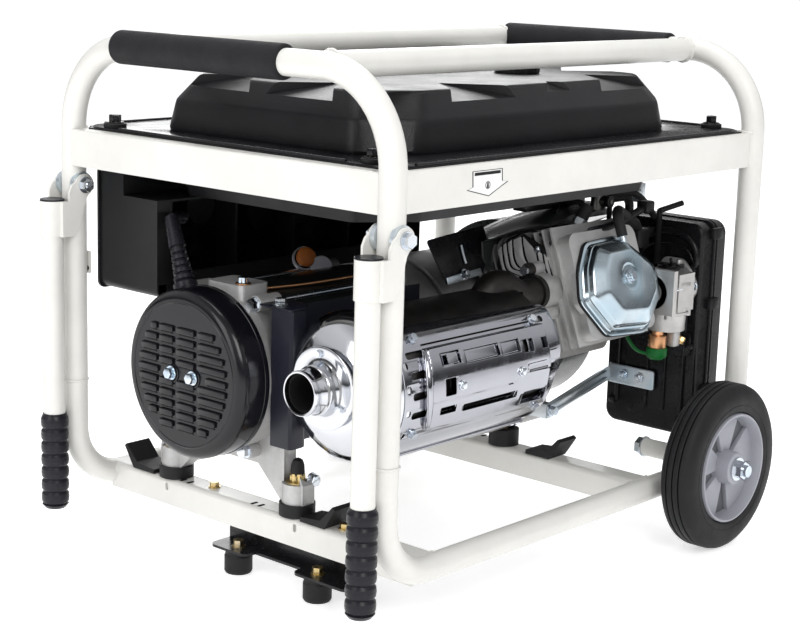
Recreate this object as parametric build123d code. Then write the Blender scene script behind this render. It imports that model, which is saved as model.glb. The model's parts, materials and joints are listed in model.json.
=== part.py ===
"""Open-frame portable generator: a tube frame with two wheels and two folding lift handles, a steel fuel
tank on top, and a single-cylinder engine that drives an alternator along the frame.

Stations used below, in millimetres: x runs along the frame from the left end hoop's tube axis, y runs
across it from the muffler side's tube axis, and z runs up from the bottom rails' tube axis.
"""

from build123d import *
from math import cos, degrees, pi, radians, sin
import os

# ---------------------------------------------------------------- driving dimensions
frame_length = 655.0        # between the end hoops' tube axes
frame_width = 485.0         # between the two sides' tube axes
top_height = 508.0          # crossbar axis above the bottom rail axis
tube_r = 14.0               # 28 mm frame tube
tube_wall = 1.8
hoop_bend = 95.0            # bend radius of the end hoops' top corners
rail_bend = 65.0            # bend radius of the bottom rails' corners
weld_height = 122.0         # where each bottom rail's upturned end meets its upright
top_tube_inset = 98.0       # top tubes' axes in from the sides

tank_rail_bottom = 372.0    # angle rails that carry the tank
tank_rail_top = 413.0
rail_sheet = 3.0

wheel_r = 101.0             # 8 inch wheel
wheel_x = 545.0
axle_z = 25.0
axle_bolt_r = 7.0
hub_inner_gap = 22.5        # hub's inner rim, out from the side plane
hub_width = 52.0
tyre_width = 36.0

crank_y = 286.0             # crankshaft axis
crank_z = 164.0
cylinder_x = 452.0          # cylinder axis along the crankshaft
cylinder_tilt = 20.0        # degrees above horizontal, towards the muffler side
bore_r = 44.0

muffler_y = 108.0
muffler_z = 172.0
muffler_r = 77.0
muffler_x0 = 58.0
muffler_x1 = 318.0

handle_offset = 31.0        # handle tube axis, out from the upright's axis
handle_pivot_z = 350.0
handle_top_z = 335.0
handle_grip_r = 16.0
handle_bottom_z = -26.0

tank_inset_x = 52.0         # tank body in from the end hoops' planes
tank_inset_y = 59.0         # and in from the side planes
tank_flange_z = 416.0
tank_shoulder_z = 451.0
tank_top_z = 479.0
tank_corner_x = 58.0        # the body's corners are cut off across these lengths
tank_corner_y = 42.0
tank_corner_r = 12.0

foot_height = 26.0
ground_z = axle_z - wheel_r
handle_reach = handle_offset + handle_grip_r
x_shift = (handle_reach - frame_length - tube_r) / 2
row_origin_shift = (x_shift, -frame_width / 2, -ground_z)

clearance = 0.3             # between parts that move past each other
bearing_gap = 0.05          # radial clearance of a running fit

os.makedirs("parts", exist_ok=True)


# ---------------------------------------------------------------- shape helpers
def box(x0, x1, y0, y1, z0, z1):
    """A block between two corners."""
    return Pos((x0 + x1) / 2, (y0 + y1) / 2, (z0 + z1) / 2) * Box(x1 - x0, y1 - y0, z1 - z0)


def rod(start, end, radius):
    """A round bar between two points."""
    a = Vector(*start)
    b = Vector(*end)
    return Plane(origin=(a + b) * 0.5, z_dir=b - a) * Cylinder(radius, (b - a).length)


def ring(start, end, outer, inner):
    """A tube between two points."""
    a = Vector(*start)
    b = Vector(*end)
    past = (b - a).normalized()
    return rod(start, end, outer) - rod(tuple(a - past), tuple(b + past), inner)


def turned(profile, origin, direction):
    """A turned part: (along, radius) points, revolved about a line from origin in a direction."""
    outline = Polyline(*[(radius, 0, along) for along, radius in profile], close=True)
    return Plane(origin=origin, z_dir=direction) * revolve(make_face(outline), axis=Axis.Z)


def bent_rod(points, bends, radius):
    """A round bar along straight runs joined by arcs."""
    path = FilletPolyline(*points, radius=bends)
    section = Plane(origin=path @ 0, z_dir=path % 0) * Circle(radius)
    return sweep(section, path=path)


def bent_tube(points, bends, radius, wall):
    """A hollow tube along straight runs joined by arcs."""
    return bent_rod(points, bends, radius) - bent_rod(points, bends, radius - wall)


def slab(points, plane, thickness):
    """A flat outline drawn on a plane and given a thickness along its normal."""
    return extrude(plane * make_face(Polyline(*points, close=True)), amount=thickness)


def side_plane(x):
    """A plane across the frame at x, drawn in (y, z)."""
    return Plane(origin=(x, 0, 0), x_dir=(0, 1, 0), z_dir=(1, 0, 0))


def long_plane(y):
    """A plane along the frame at y, drawn in (x, z)."""
    return Plane(origin=(0, y, 0), x_dir=(1, 0, 0), z_dir=(0, -1, 0))


def hex_bolt(seat, out, flats=10.0, head=5.0, shank_r=3.0, shank=10.0, washer_r=0.0):
    """A hex head that stands out from its seat, with its washer and its shank."""
    out = Vector(*out).normalized()
    seat = Vector(*seat)
    washer = 1.5 if washer_r else 0.0
    plane = Plane(origin=seat + out * washer, z_dir=out)
    bolt = extrude(plane * RegularPolygon(flats / 2, 6, major_radius=False), amount=head)
    bolt += rod(tuple(seat - out * shank), tuple(seat + out * washer), shank_r)
    if washer_r:
        bolt += rod(tuple(seat), tuple(seat + out * washer), washer_r)
    return bolt


def group(*pieces):
    """Separate solids kept as one node."""
    solids = []
    for piece in pieces:
        solids += piece.solids()
    return Compound(children=solids)


def mirrored(shape):
    """The same shape on the other side of the frame."""
    return mirror(shape, about=Plane(origin=(0, frame_width / 2, 0), z_dir=(0, 1, 0)))


def end_mirrored(shape):
    """The same shape at the other end of the frame."""
    return mirror(shape, about=Plane(origin=(frame_length / 2, 0, 0), z_dir=(1, 0, 0)))


nodes = {}


def keep(name, shape):
    """Put a finished node in the row's own frame."""
    nodes[name] = Pos(*row_origin_shift) * shape
    return shape


def on_crank(x, across=0.0, up=0.0):
    """A point by its distance along, across and above the crankshaft's axis."""
    return (x, crank_y + across, crank_z + up)


# ---------------------------------------------------------------- frame
def hoop_path(x):
    return [
        (x, 0, weld_height),
        (x, 0, top_height),
        (x, frame_width, top_height),
        (x, frame_width, weld_height),
    ]


def rail_path(y):
    return [(0, y, weld_height), (0, y, 0), (frame_length, y, 0), (frame_length, y, weld_height)]


hoop_solid = bent_rod(hoop_path(0), hoop_bend, tube_r)
hoop_solid += bent_rod(hoop_path(frame_length), hoop_bend, tube_r)
rail_solid = bent_rod(rail_path(0), rail_bend, tube_r)
rail_solid += bent_rod(rail_path(frame_width), rail_bend, tube_r)

hoop_holes = Part()
for side_y in (0, frame_width):
    hoop_holes += rod((0, side_y - 30, handle_pivot_z), (0, side_y + 30, handle_pivot_z), 4.1)
end_hoops = [bent_tube(hoop_path(x), hoop_bend, tube_r, tube_wall) for x in (0, frame_length)]
end_hoops[0] -= hoop_holes
keep("end_hoops", group(*end_hoops))

top_tube_ys = (top_tube_inset, frame_width - top_tube_inset)
top_tubes = []
for y in top_tube_ys:
    tube = ring((0, y, top_height), (frame_length, y, top_height), tube_r, tube_r - tube_wall)
    top_tubes.append(tube - hoop_solid)
keep("top_tubes", group(*top_tubes))

sleeve_inner_y = 56.0
sleeve_outer_y = -hub_inner_gap + 2.5
sleeve = ring((wheel_x, sleeve_inner_y, axle_z), (wheel_x, sleeve_outer_y, axle_z), 11.0, axle_bolt_r)
sleeves = [piece - rail_solid for piece in (sleeve, mirrored(sleeve))]
bottom_rails = [bent_tube(rail_path(y), rail_bend, tube_r, tube_wall) for y in (0, frame_width)]
keep("bottom_rails", group(*bottom_rails, *sleeves))

flange_reach = 22.0
rail_shelf_z = tank_rail_top - rail_sheet
side_face_y = -4.8          # the side rails' outer faces
end_face_x = -10.8          # the end rails' outer faces
side_rail = box(0, frame_length, side_face_y, side_face_y + rail_sheet, tank_rail_bottom, tank_rail_top)
side_rail += box(0, frame_length, side_face_y, flange_reach, rail_shelf_z, tank_rail_top)
side_rail = fillet(side_rail.edges().filter_by(Axis.X).group_by(Axis.Z)[-1].sort_by(Axis.Y)[:1], 2.0)
end_rail = box(end_face_x, end_face_x + rail_sheet, 0, frame_width, tank_rail_bottom, tank_rail_top)
shelf_y = flange_reach + 1
end_rail += box(end_face_x, 20.0, shelf_y, frame_width - shelf_y, rail_shelf_z, tank_rail_top)
end_rail = fillet(end_rail.edges().filter_by(Axis.Y).group_by(Axis.Z)[-1].sort_by(Axis.X)[:1], 2.0)
tank_rails = [side_rail, mirrored(side_rail), end_rail, end_mirrored(end_rail)]

tank_bolt_spots = [
    (x, y)
    for x in (22.0, frame_length - 22.0)
    for y in (46.0, frame_width - 46.0)
]
bolt_tab = 14.0             # half the width of the tab under each tank bolt
tank_bolt_r = 3.2
bolt_tabs = Part()
tank_bolt_holes = Part()
for x, y in tank_bolt_spots:
    tab = Pos(x, y, (rail_shelf_z + tank_rail_top) / 2) * Box(2 * bolt_tab, 2 * bolt_tab, rail_sheet)
    bolt_tabs += tab
    tank_bolt_holes += rod((x, y, tank_rail_top - 20), (x, y, tank_flange_z + 20), tank_bolt_r)
tank_rails[0] -= bolt_tabs
tank_rails[1] -= bolt_tabs
tank_rails[2] += bolt_tabs
tank_rails[3] += bolt_tabs
tank_rails = [rail - hoop_solid - tank_bolt_holes for rail in tank_rails]
keep("tank_rails", group(*[rail.solids().sort_by(SortBy.VOLUME)[-1] for rail in tank_rails]))

crossbar_width = 34.0
crossbar_drop = 31.0
left_crossbar_x = 50.0
right_crossbar_x = 441.0
mount_bolt_x = left_crossbar_x + crossbar_width / 2
engine_bolt_x = right_crossbar_x + crossbar_width / 2
alternator_mount_ys = (crank_y - 99.0, crank_y + 99.0)
engine_mount_ys = (crank_y - 75.0, crank_y + 75.0)


def crossbar(x0):
    """A pressed channel, open below, saddled over the two bottom rails."""
    x1 = x0 + crossbar_width
    bar = box(x0, x1, 4, frame_width - 4, tube_r - crossbar_drop, tube_r)
    bar = fillet(bar.edges().filter_by(Axis.Y).group_by(Axis.Z)[-1], 6.0)
    inside = box(x0 + 3, x1 - 3, 0, frame_width, tube_r - crossbar_drop - 3, tube_r - 3)
    bar -= fillet(inside.edges().filter_by(Axis.Y).group_by(Axis.Z)[-1], 3.0)
    bar -= rail_solid
    return bar


left_crossbar = crossbar(left_crossbar_x)
right_crossbar = crossbar(right_crossbar_x)
oval_hole_ys = (173.6, 382.4)
for y in oval_hole_ys:
    slot = Pos(left_crossbar_x, y, 4.4) * Rot(0, 90, 0) * extrude(SlotOverall(9, 5.5), amount=10, both=True)
    left_crossbar -= slot
for y in alternator_mount_ys:
    left_crossbar -= rod((mount_bolt_x, y, 0), (mount_bolt_x, y, 30), 5.0)
for y in engine_mount_ys:
    right_crossbar -= rod((engine_bolt_x, y, 0), (engine_bolt_x, y, 30), 5.0)
foot_ys = (154.0, 279.0)
spare_bolt_ys = (115.0, 320.0)
for y in spare_bolt_ys:
    left_crossbar -= rod((mount_bolt_x, y, 0), (mount_bolt_x, y, 30), 3.0)

foot_plate_z = ground_z + foot_height
bracket_x = left_crossbar_x + crossbar_width
bracket = box(bracket_x, bracket_x + 3, 98, 312, foot_plate_z, 4)
bracket += box(left_crossbar_x + 2, bracket_x + 3, 98, 312, foot_plate_z, foot_plate_z + 3)
notch_depth = 18.0
bracket -= box(0, left_crossbar_x + notch_depth, 180, 253, foot_plate_z - 5, foot_plate_z + 5)
tab_corners = bracket.edges().filter_by(Axis.Z).group_by(Axis.X)[0]
bracket = fillet(tab_corners, 9.0)
bracket_bolt_ys = (130.0, 217.0, 300.0)
bracket_bolts = [
    hex_bolt((bracket_x + 3, y, -7), (1, 0, 0), flats=10, head=5, shank_r=3, shank=8, washer_r=7)
    for y in bracket_bolt_ys
]
foot_bolts = []
feet = []
for y in foot_ys:
    foot = turned(
        [(0, 0), (0, 14.5), (2.5, 16), (foot_height - 6, 16), (foot_height - 4, 15), (foot_height, 15),
         (foot_height, 3), (10, 3), (10, 0)],
        (mount_bolt_x, y, ground_z), (0, 0, 1),
    )
    feet.append(foot)
    foot_seat = (mount_bolt_x, y, foot_plate_z + 3)
    foot_bolts.append(hex_bolt(foot_seat, (0, 0, 1), flats=11, head=7, shank_r=3, shank=14, washer_r=8))
for bolt in bracket_bolts + foot_bolts:
    bracket -= bolt
    left_crossbar -= bolt
keep("foot_bracket", bracket)
keep("rubber_feet", group(*feet))
keep("mount_crossbars", group(left_crossbar, right_crossbar))

grip_spans = ((0.0, 147.0, 403.0), (frame_length, 125.0, 386.0))
grips = []
for x, y0, y1 in grip_spans:
    grip = fillet(rod((x, y0, top_height), (x, y1, top_height), 18.5).edges(), 4.0)
    grip -= rod((x, y0 - 5, top_height), (x, y1 + 5, top_height), tube_r)
    for y in top_tube_ys:
        grip -= rod((0, y, top_height), (frame_length, y, top_height), tube_r + 0.5)
    grips.append(grip.solids().sort_by(SortBy.VOLUME)[-1])
keep("crossbar_grips", group(*grips))


# ---------------------------------------------------------------- lift handles
ear_gap = tube_r + 2.2      # inside face of each ear from the upright's axis
ear_sheet = 3.0
pivot_bolt_r = 4.0


def handle_parts():
    """The near handle, hanging: its welded tube and fork, and its rubber grip and plug."""
    tube_axis = -handle_offset
    tube = ring((tube_axis, 0, handle_top_z - 5), (tube_axis, 0, 30), 12.5, 10.9)
    collar = ring((tube_axis, 0, handle_top_z - 2), (tube_axis, 0, 293), 14.2, 12.5)
    ears = Part()
    outline = [
        (0, 11), (-6, 9.2), (-18, 0), (-22, -8), (-22, -57),
        (-14, -57), (-8, -48), (2, -16), (9.2, -6), (11, 0),
    ]
    for side in (-1, 1):
        inner = side * ear_gap
        ear = slab([(x, handle_pivot_z + z) for x, z in outline], long_plane(inner), -side * ear_sheet)
        ear += rod((0, inner, handle_pivot_z), (0, inner + side * ear_sheet, handle_pivot_z), 12.5)
        ears += ear
    cheek = box(tube_axis, tube_axis + 9, -ear_gap - ear_sheet, ear_gap + ear_sheet, 293, handle_top_z - 2)
    cheek -= box(tube_axis + 4, 30, -ear_gap, ear_gap, 280, 400)
    cheek -= rod((tube_axis, 0, 280), (tube_axis, 0, 400), 12.5)
    fork = collar + ears + cheek
    fork -= rod((tube_axis, 0, 280), (tube_axis, 0, 400), 12.5)
    fork -= rod((0, 0, 280), (0, 0, 420), tube_r + 0.7)
    fork -= rod((0, -60, handle_pivot_z), (0, 60, handle_pivot_z), pivot_bolt_r + bearing_gap)
    arm = (fork + tube).solids().sort_by(SortBy.VOLUME)[-1]

    bottom = handle_bottom_z
    top = 87.0
    beads = 7
    pitch = (top - bottom - 8) / beads
    outline = [(bottom, 0), (bottom, 12), (bottom + 4, 15.2)]
    for bead in range(beads):
        start = bottom + 5 + bead * pitch
        outline += [(start, 13.6), (start + 3, 15.6)]
        outline += [(start + pitch / 2, handle_grip_r), (start + pitch - 3, 15.6)]
    outline += [(top - 2, 13.8), (top, 13.4), (top, 12.5), (30, 12.5), (30, 0)]
    grip = turned(outline, (tube_axis, 0, 0), (0, 0, 1))
    plug = turned(
        [(handle_top_z - 2, 0), (handle_top_z - 2, 14.2), (handle_top_z, 13.6), (handle_top_z, 0)],
        (tube_axis, 0, 0), (0, 0, 1),
    )
    stem = rod((tube_axis, 0, handle_top_z - 5), (tube_axis, 0, handle_top_z - 2), 12.5)
    return arm, group(grip, plug + stem)


near_arm, near_rubbers = handle_parts()
keep("handle_near", near_arm)
keep("handle_rubbers_near", near_rubbers)
keep("handle_far", mirrored(near_arm))
keep("handle_rubbers_far", mirrored(near_rubbers))


def pivot_bolt(side_y, outward):
    """A through bolt with a head outside, a nut inside and a washer at each end."""
    end = ear_gap + ear_sheet + clearance
    head_seat = (0, side_y + outward * end, handle_pivot_z)
    nut_seat = (0, side_y - outward * end, handle_pivot_z)
    tip = (0, side_y - outward * (end + 9), handle_pivot_z)
    bolt = hex_bolt(head_seat, (0, outward, 0), 13, 6, pivot_bolt_r, 0.1, 9)
    bolt += hex_bolt(nut_seat, (0, -outward, 0), 13, 6, pivot_bolt_r, 0.1, 9)
    bolt += rod(tip, head_seat, pivot_bolt_r)
    return bolt


washers = []
for side_y in (0, frame_width):
    for side in (-1, 1):
        inner = (0, side_y + side * (tube_r - 4), handle_pivot_z)
        outer = (0, side_y + side * (ear_gap - 0.2), handle_pivot_z)
        washer = ring(inner, outer, 14, pivot_bolt_r)
        washer -= rod((0, side_y, 300), (0, side_y, 400), tube_r)
        washers.append(washer.solids().sort_by(SortBy.VOLUME)[-1])
keep("handle_washers", group(*washers))


# ---------------------------------------------------------------- wheels
def wheel_parts():
    """The near wheel: its hub with five windows, and its tyre with three grooves."""
    y_in = -hub_inner_gap
    y_out = y_in - hub_width
    mid = (y_in + y_out) / 2
    rim = ring((wheel_x, y_in - 4, axle_z), (wheel_x, y_out + 4, axle_z), 76, 66)
    bead = tyre_width / 2 + 6
    rim += ring((wheel_x, mid + bead, axle_z), (wheel_x, mid - bead, axle_z), 76, 62)
    web = ring((wheel_x, mid + 5, axle_z), (wheel_x, mid - 9, axle_z), 68, 15)
    window = Part()
    for spoke in range(5):
        turn = 2 * pi * spoke / 5 + radians(18)
        half = radians(21)
        corners = [(30, half * 0.55), (58, half * 1.25), (58, -half * 1.25), (30, -half * 0.55)]
        points = [
            (wheel_x + r * cos(turn + a), axle_z + r * sin(turn + a))
            for r, a in corners
        ]
        window += slab(points, long_plane(mid + 30), 60)
    window = fillet(window.edges().filter_by(Axis.Y), 5.0)
    web -= window
    boss = ring((wheel_x, y_in, axle_z), (wheel_x, y_out, axle_z), 20, axle_bolt_r + bearing_gap)
    hub = rim + web + boss
    tyre = turned(
        [
            (-16, 76), (-20, 84), (-19, 93), (-15, 99), (-9.5, 100.6), (-9.5, 97.5), (-7.5, 97.5),
            (-7.5, 100.9), (-1, wheel_r), (-1, 97.8), (1, 97.8), (1, wheel_r), (7.5, 100.9), (7.5, 97.5),
            (9.5, 97.5), (9.5, 100.6), (15, 99), (19, 93), (20, 84), (16, 76),
        ],
        (wheel_x, mid, axle_z), (0, 1, 0),
    )
    return hub, tyre


near_hub, near_tyre = wheel_parts()
keep("wheel_hub_near", near_hub)
keep("wheel_tyre_near", near_tyre)
keep("wheel_hub_far", mirrored(near_hub))
keep("wheel_tyre_far", mirrored(near_tyre))

y_out = -hub_inner_gap - hub_width
axle_bolt = rod((wheel_x, sleeve_inner_y + 0.1, axle_z), (wheel_x, y_out - 16, axle_z), axle_bolt_r)
axle_bolt += hex_bolt((wheel_x, sleeve_inner_y, axle_z), (0, 1, 0), 19, 9, axle_bolt_r, 0.1, 13)
axle_bolt += hex_bolt((wheel_x, y_out - 0.4, axle_z), (0, -1, 0), 19, 9, axle_bolt_r, 0.1, 14)
spacer_end = (wheel_x, -hub_inner_gap + 0.4, axle_z)
axle_bolt += ring((wheel_x, sleeve_outer_y, axle_z), spacer_end, 13, axle_bolt_r - 1)
keep(
    "pivot_bolts",
    group(axle_bolt, mirrored(axle_bolt), pivot_bolt(0, -1), pivot_bolt(frame_width, 1)),
)


# ---------------------------------------------------------------- fuel tank
def tank_level(z, inset):
    """The tank's outline at a height: a rectangle with its corners cut off and rounded."""
    half_x = frame_length / 2 - tank_inset_x - inset
    half_y = frame_width / 2 - tank_inset_y - inset
    outline = []
    for side_x, side_y in ((1, 1), (-1, 1), (-1, -1), (1, -1)):
        cut = [
            (side_x * half_x, side_y * (half_y - tank_corner_y)),
            (side_x * (half_x - tank_corner_x), side_y * half_y),
        ]
        outline += cut if side_x == side_y else cut[::-1]
    centre = Pos(frame_length / 2, frame_width / 2, z)
    section = centre * make_face(Polyline(*outline, close=True))
    return fillet(section.vertices(), tank_corner_r)


def loft_between(z0, inset0, z1, inset1):
    return loft([tank_level(z0, inset0), tank_level(z1, inset1)])


flange = box(6, frame_length - 6, 4, frame_width - 4, tank_rail_top, tank_flange_z)
for x, y in ((0, 0), (0, frame_width), (frame_length, 0), (frame_length, frame_width)):
    flange -= rod((x, y, 380), (x, y, 440), tube_r + 6)
flange -= tank_bolt_holes
fuel_sheet = 2.0
seam_z = (tank_rail_top + tank_flange_z) / 2
lower_flange = flange & box(-50, frame_length + 50, -50, frame_width + 50, tank_rail_top, seam_z)
upper_flange = flange & box(-50, frame_length + 50, -50, frame_width + 50, seam_z, tank_flange_z)

upper_shell = loft_between(seam_z, 0, tank_shoulder_z, 5)
upper_shell += loft_between(tank_shoulder_z, 5, tank_top_z, 24)
upper_space = loft_between(seam_z, fuel_sheet, tank_shoulder_z, 5 + fuel_sheet)
upper_space += loft_between(tank_shoulder_z, 5 + fuel_sheet, tank_top_z - fuel_sheet, 24 + fuel_sheet)
cap_x = 440.0
cap_y = 200.0
neck_r = 22.0
upper_shell += upper_flange
upper_shell -= upper_space
neck_top = tank_top_z + 4
upper_shell += rod((cap_x, cap_y, tank_top_z - 2), (cap_x, cap_y, neck_top), neck_r)
upper_shell -= rod((cap_x, cap_y, tank_top_z - 10), (cap_x, cap_y, neck_top + 5), neck_r - 2)

pan_z = 344.0
lower_shell = loft_between(pan_z, 16, seam_z, 0) + lower_flange
lower_shell -= loft_between(pan_z + fuel_sheet, 16 + fuel_sheet, seam_z, fuel_sheet)
petcock_x = 505.0
petcock_y = 118.0
lower_shell -= rod((petcock_x, petcock_y, pan_z - 5), (petcock_x, petcock_y, pan_z + 20), 6)
keep("tank_upper_shell", upper_shell)
keep("tank_lower_shell", lower_shell)

tank_bolts = []
for x, y in tank_bolt_spots:
    tank_bolts.append(ring((x, y, tank_flange_z), (x, y, tank_flange_z + 4), 12, 3.2))
    stud = hex_bolt((x, y, tank_flange_z + 4), (0, 0, 1), 10, 7, 3.2, 22, 9)
    tank_bolts.append(stud)

cap_gap = 0.3
cap_floor = neck_top + cap_gap
fuel_cap = turned(
    [
        (cap_floor, 0), (cap_floor, neck_r), (tank_top_z + 1, neck_r + 0.6), (tank_top_z + 1, 27),
        (cap_floor + 4, 27.5), (cap_floor + 6.5, 24), (cap_floor + 6.5, 0),
    ],
    (cap_x, cap_y, 0), (0, 0, 1),
)
for lobe in range(12):
    turn = 2 * pi * lobe / 12
    fuel_cap -= rod(
        (cap_x + 28.5 * cos(turn), cap_y + 28.5 * sin(turn), tank_top_z),
        (cap_x + 28.5 * cos(turn), cap_y + 28.5 * sin(turn), tank_top_z + 20), 2.2,
    )
keep("fuel_cap", fuel_cap)

petcock = rod((petcock_x, petcock_y, pan_z + 12), (petcock_x, petcock_y, pan_z - 12), 5.5)
petcock += rod((petcock_x, petcock_y, pan_z), (petcock_x, petcock_y, pan_z - 5), 11)
petcock += rod((petcock_x, petcock_y, pan_z - 5), (petcock_x, petcock_y, pan_z - 26), 9)
petcock_z = pan_z - 15
petcock += rod((petcock_x, petcock_y, petcock_z), (petcock_x + 24, petcock_y, petcock_z), 3.2)
petcock += rod((petcock_x, petcock_y, petcock_z), (petcock_x, petcock_y - 13, petcock_z), 7)
petcock_face_y = petcock_y - 13
petcock += rod((petcock_x, petcock_face_y, petcock_z), (petcock_x, petcock_face_y - 7, petcock_z), 2.5)
keep("petcock", petcock)
lever = rod((petcock_x, petcock_face_y - cap_gap, petcock_z), (petcock_x, petcock_face_y - 6, petcock_z), 7)
blade_y = petcock_face_y - 6
lever += box(petcock_x - 3, petcock_x + 3, blade_y, blade_y + 3.5, petcock_z - 21, petcock_z)
lever_hole = rod((petcock_x, petcock_y, petcock_z), (petcock_x, blade_y - 4, petcock_z), 2.5 + bearing_gap)
lever -= lever_hole
keep("petcock_lever", lever)


# ---------------------------------------------------------------- control panel
panel_x0 = 26.0
panel_x1 = 470.0
panel_z0 = 230.0
panel_z1 = 371.0
panel_y_in = 372.0
panel_y_face = frame_width - 14.0
panel_sheet = 2.5
panel_face_sheet = 3.0

panel_step_y = 430.0        # the box is lower on this line's inner side, to clear the tank's pan
panel_step_z = pan_z - 4.0


def panel_block(margin):
    """The box's stepped outline, drawn in by a margin."""
    x0 = panel_x0 + margin
    x1 = panel_x1 - margin
    high = box(x0, x1, panel_step_y + margin, panel_y_face, panel_z0 + margin, panel_z1 - margin)
    low = box(x0, x1, panel_y_in - 2 * margin, panel_y_face, panel_z0 + margin, panel_step_z - margin)
    return high + low


housing = fillet(panel_block(0).edges().filter_by(Axis.Y).group_by(Axis.Z)[0], 10.0)
housing -= fillet(panel_block(panel_sheet).edges().filter_by(Axis.Y).group_by(Axis.Z)[0], 7.5)
for x in (150, 245, 340):
    housing += box(x, x + 3, panel_y_in + 6, panel_y_in + 40, panel_z0 + 1, panel_step_z - 1)
housing += box(panel_x0 + 2, panel_x0 + 22, panel_y_in, panel_y_in + 3, panel_z0 + 15, panel_step_z - 1)
housing += box(panel_x0 + 15, panel_x1 - 15, panel_y_in, panel_y_in + 3, panel_z0 + 1, panel_z0 + 26)

panel_lip = 2.0
face_y = panel_y_face + panel_face_sheet
face = box(panel_x0 - panel_lip, panel_x1 + panel_lip, panel_y_face, face_y, panel_z0 - panel_lip, panel_z1)
face = fillet(face.edges().filter_by(Axis.Y), 9.0)
switch_x = 90.0
switch_z = 315.0
breaker_x = 150.0
breaker_z = 262.0
meter_x = 160.0
socket_xs = (250.0, 320.0, 390.0)
socket_z = 300.0
socket_r = 24.0
face -= box(switch_x - 12.5, switch_x + 12.5, panel_y_face - 5, face_y + 5, switch_z - 17.5, switch_z + 17.5)
face -= rod((breaker_x, panel_y_face - 5, breaker_z), (breaker_x, face_y + 5, breaker_z), 8.0)
face -= rod((meter_x, panel_y_face - 5, switch_z), (meter_x, face_y + 5, switch_z), 22.0)
for x in socket_xs:
    face -= rod((x, panel_y_face - 5, socket_z), (x, face_y + 5, socket_z), socket_r - 3)
face -= rod((430, panel_y_face - 5, 252), (430, face_y + 5, 252), 4)

fittings = []
meter = rod((meter_x, panel_y_face - 22, switch_z), (meter_x, face_y, switch_z), 22.0)
meter += rod((meter_x, face_y, switch_z), (meter_x, face_y + 3, switch_z), 25)
fittings.append(meter)
for x in socket_xs:
    socket = rod((x, panel_y_face - 30, socket_z), (x, face_y, socket_z), socket_r - 3)
    socket += rod((x, face_y, socket_z), (x, face_y + 4, socket_z), socket_r)
    socket -= rod((x, face_y - 14, socket_z), (x, face_y + 10, socket_z), 18)
    for pin_x in (x - 9.5, x + 9.5):
        socket -= rod((pin_x, face_y - 29, socket_z), (pin_x, face_y, socket_z), 2.6)
    fittings.append(socket)
switch_back_y = panel_y_face - 18
switch_case = Pos(switch_x, (switch_back_y + face_y) / 2, switch_z) * Box(25, face_y - switch_back_y, 35)
switch_case += box(switch_x - 14.5, switch_x + 14.5, face_y, face_y + 1.5, switch_z - 19.5, switch_z + 19.5)
switch_case -= box(switch_x - 9, switch_x + 9, face_y - 12, face_y + 5, switch_z - 14, switch_z + 14)
switch_pin_y = face_y - 3.5
switch_case += rod((switch_x - 9.5, switch_pin_y, switch_z), (switch_x + 9.5, switch_pin_y, switch_z), 1.5)
fittings.append(switch_case)
breaker_case = ring((breaker_x, panel_y_face - 20, breaker_z), (breaker_x, face_y + 3, breaker_z), 8.0, 5.0)
breaker_case += rod((breaker_x, panel_y_face - 20, breaker_z), (breaker_x, panel_y_face - 17, breaker_z), 8.0)
breaker_case += ring((breaker_x, face_y, breaker_z), (breaker_x, face_y + 3, breaker_z), 11, 5.0)
fittings.append(breaker_case)
terminal = hex_bolt((430, face_y, 252), (0, 1, 0), 12, 7, 4, 12, 9)
fittings.append(terminal)
keep("panel_fittings", group(*fittings))
for piece in fittings:
    face -= piece
keep("panel_face", face)
keep("panel_box", housing)

rocker = slab(
    [(-13, 4.6), (0, 1.2), (13, 1.8), (13, -2), (5, -6.5), (-5, -6.5), (-13, -2)],
    Plane(origin=(switch_x - 8.5, switch_pin_y, switch_z), x_dir=(0, 0, -1), z_dir=(1, 0, 0)),
    17.0,
)
pin_start = (switch_x - 12, switch_pin_y, switch_z)
rocker -= rod(pin_start, (switch_x + 12, switch_pin_y, switch_z), 1.5 + bearing_gap)
keep("engine_switch", rocker)
button_travel = 3.0
button_back = (breaker_x, panel_y_face - 17 + button_travel + 1, breaker_z)
button = rod(button_back, (breaker_x, face_y + 8, breaker_z), 4.7)
button = fillet(button.edges().sort_by(Axis.Y)[-1:], 1.0)
keep("breaker_button", button)


# ---------------------------------------------------------------- alternator
cover_r = 93.5
cover_face_x = -12.0
cover_open_x = 28.0
bracket_end_x = 76.0
stator_end_x = 262.0
adapter_end_x = 334.0
shaft_r = 17.0
bearing_r = 31.0

cover = rod(on_crank(cover_face_x), on_crank(cover_open_x), cover_r)
cover = fillet(cover.edges().sort_by(Axis.X)[:1], 12.0)
cover_space = rod(on_crank(cover_face_x + 3), on_crank(cover_open_x + 5), cover_r - 3)
cover -= fillet(cover_space.edges().sort_by(Axis.X)[:1], 9.5)
machine_bolts = []
for across in (-17.0, 17.0):
    cover += rod(on_crank(cover_face_x + 2, across), on_crank(cover_open_x, across), 7)
    machine_bolts.append(hex_bolt(on_crank(cover_face_x, across), (-1, 0, 0), 10, 5, 3, 46))

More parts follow.
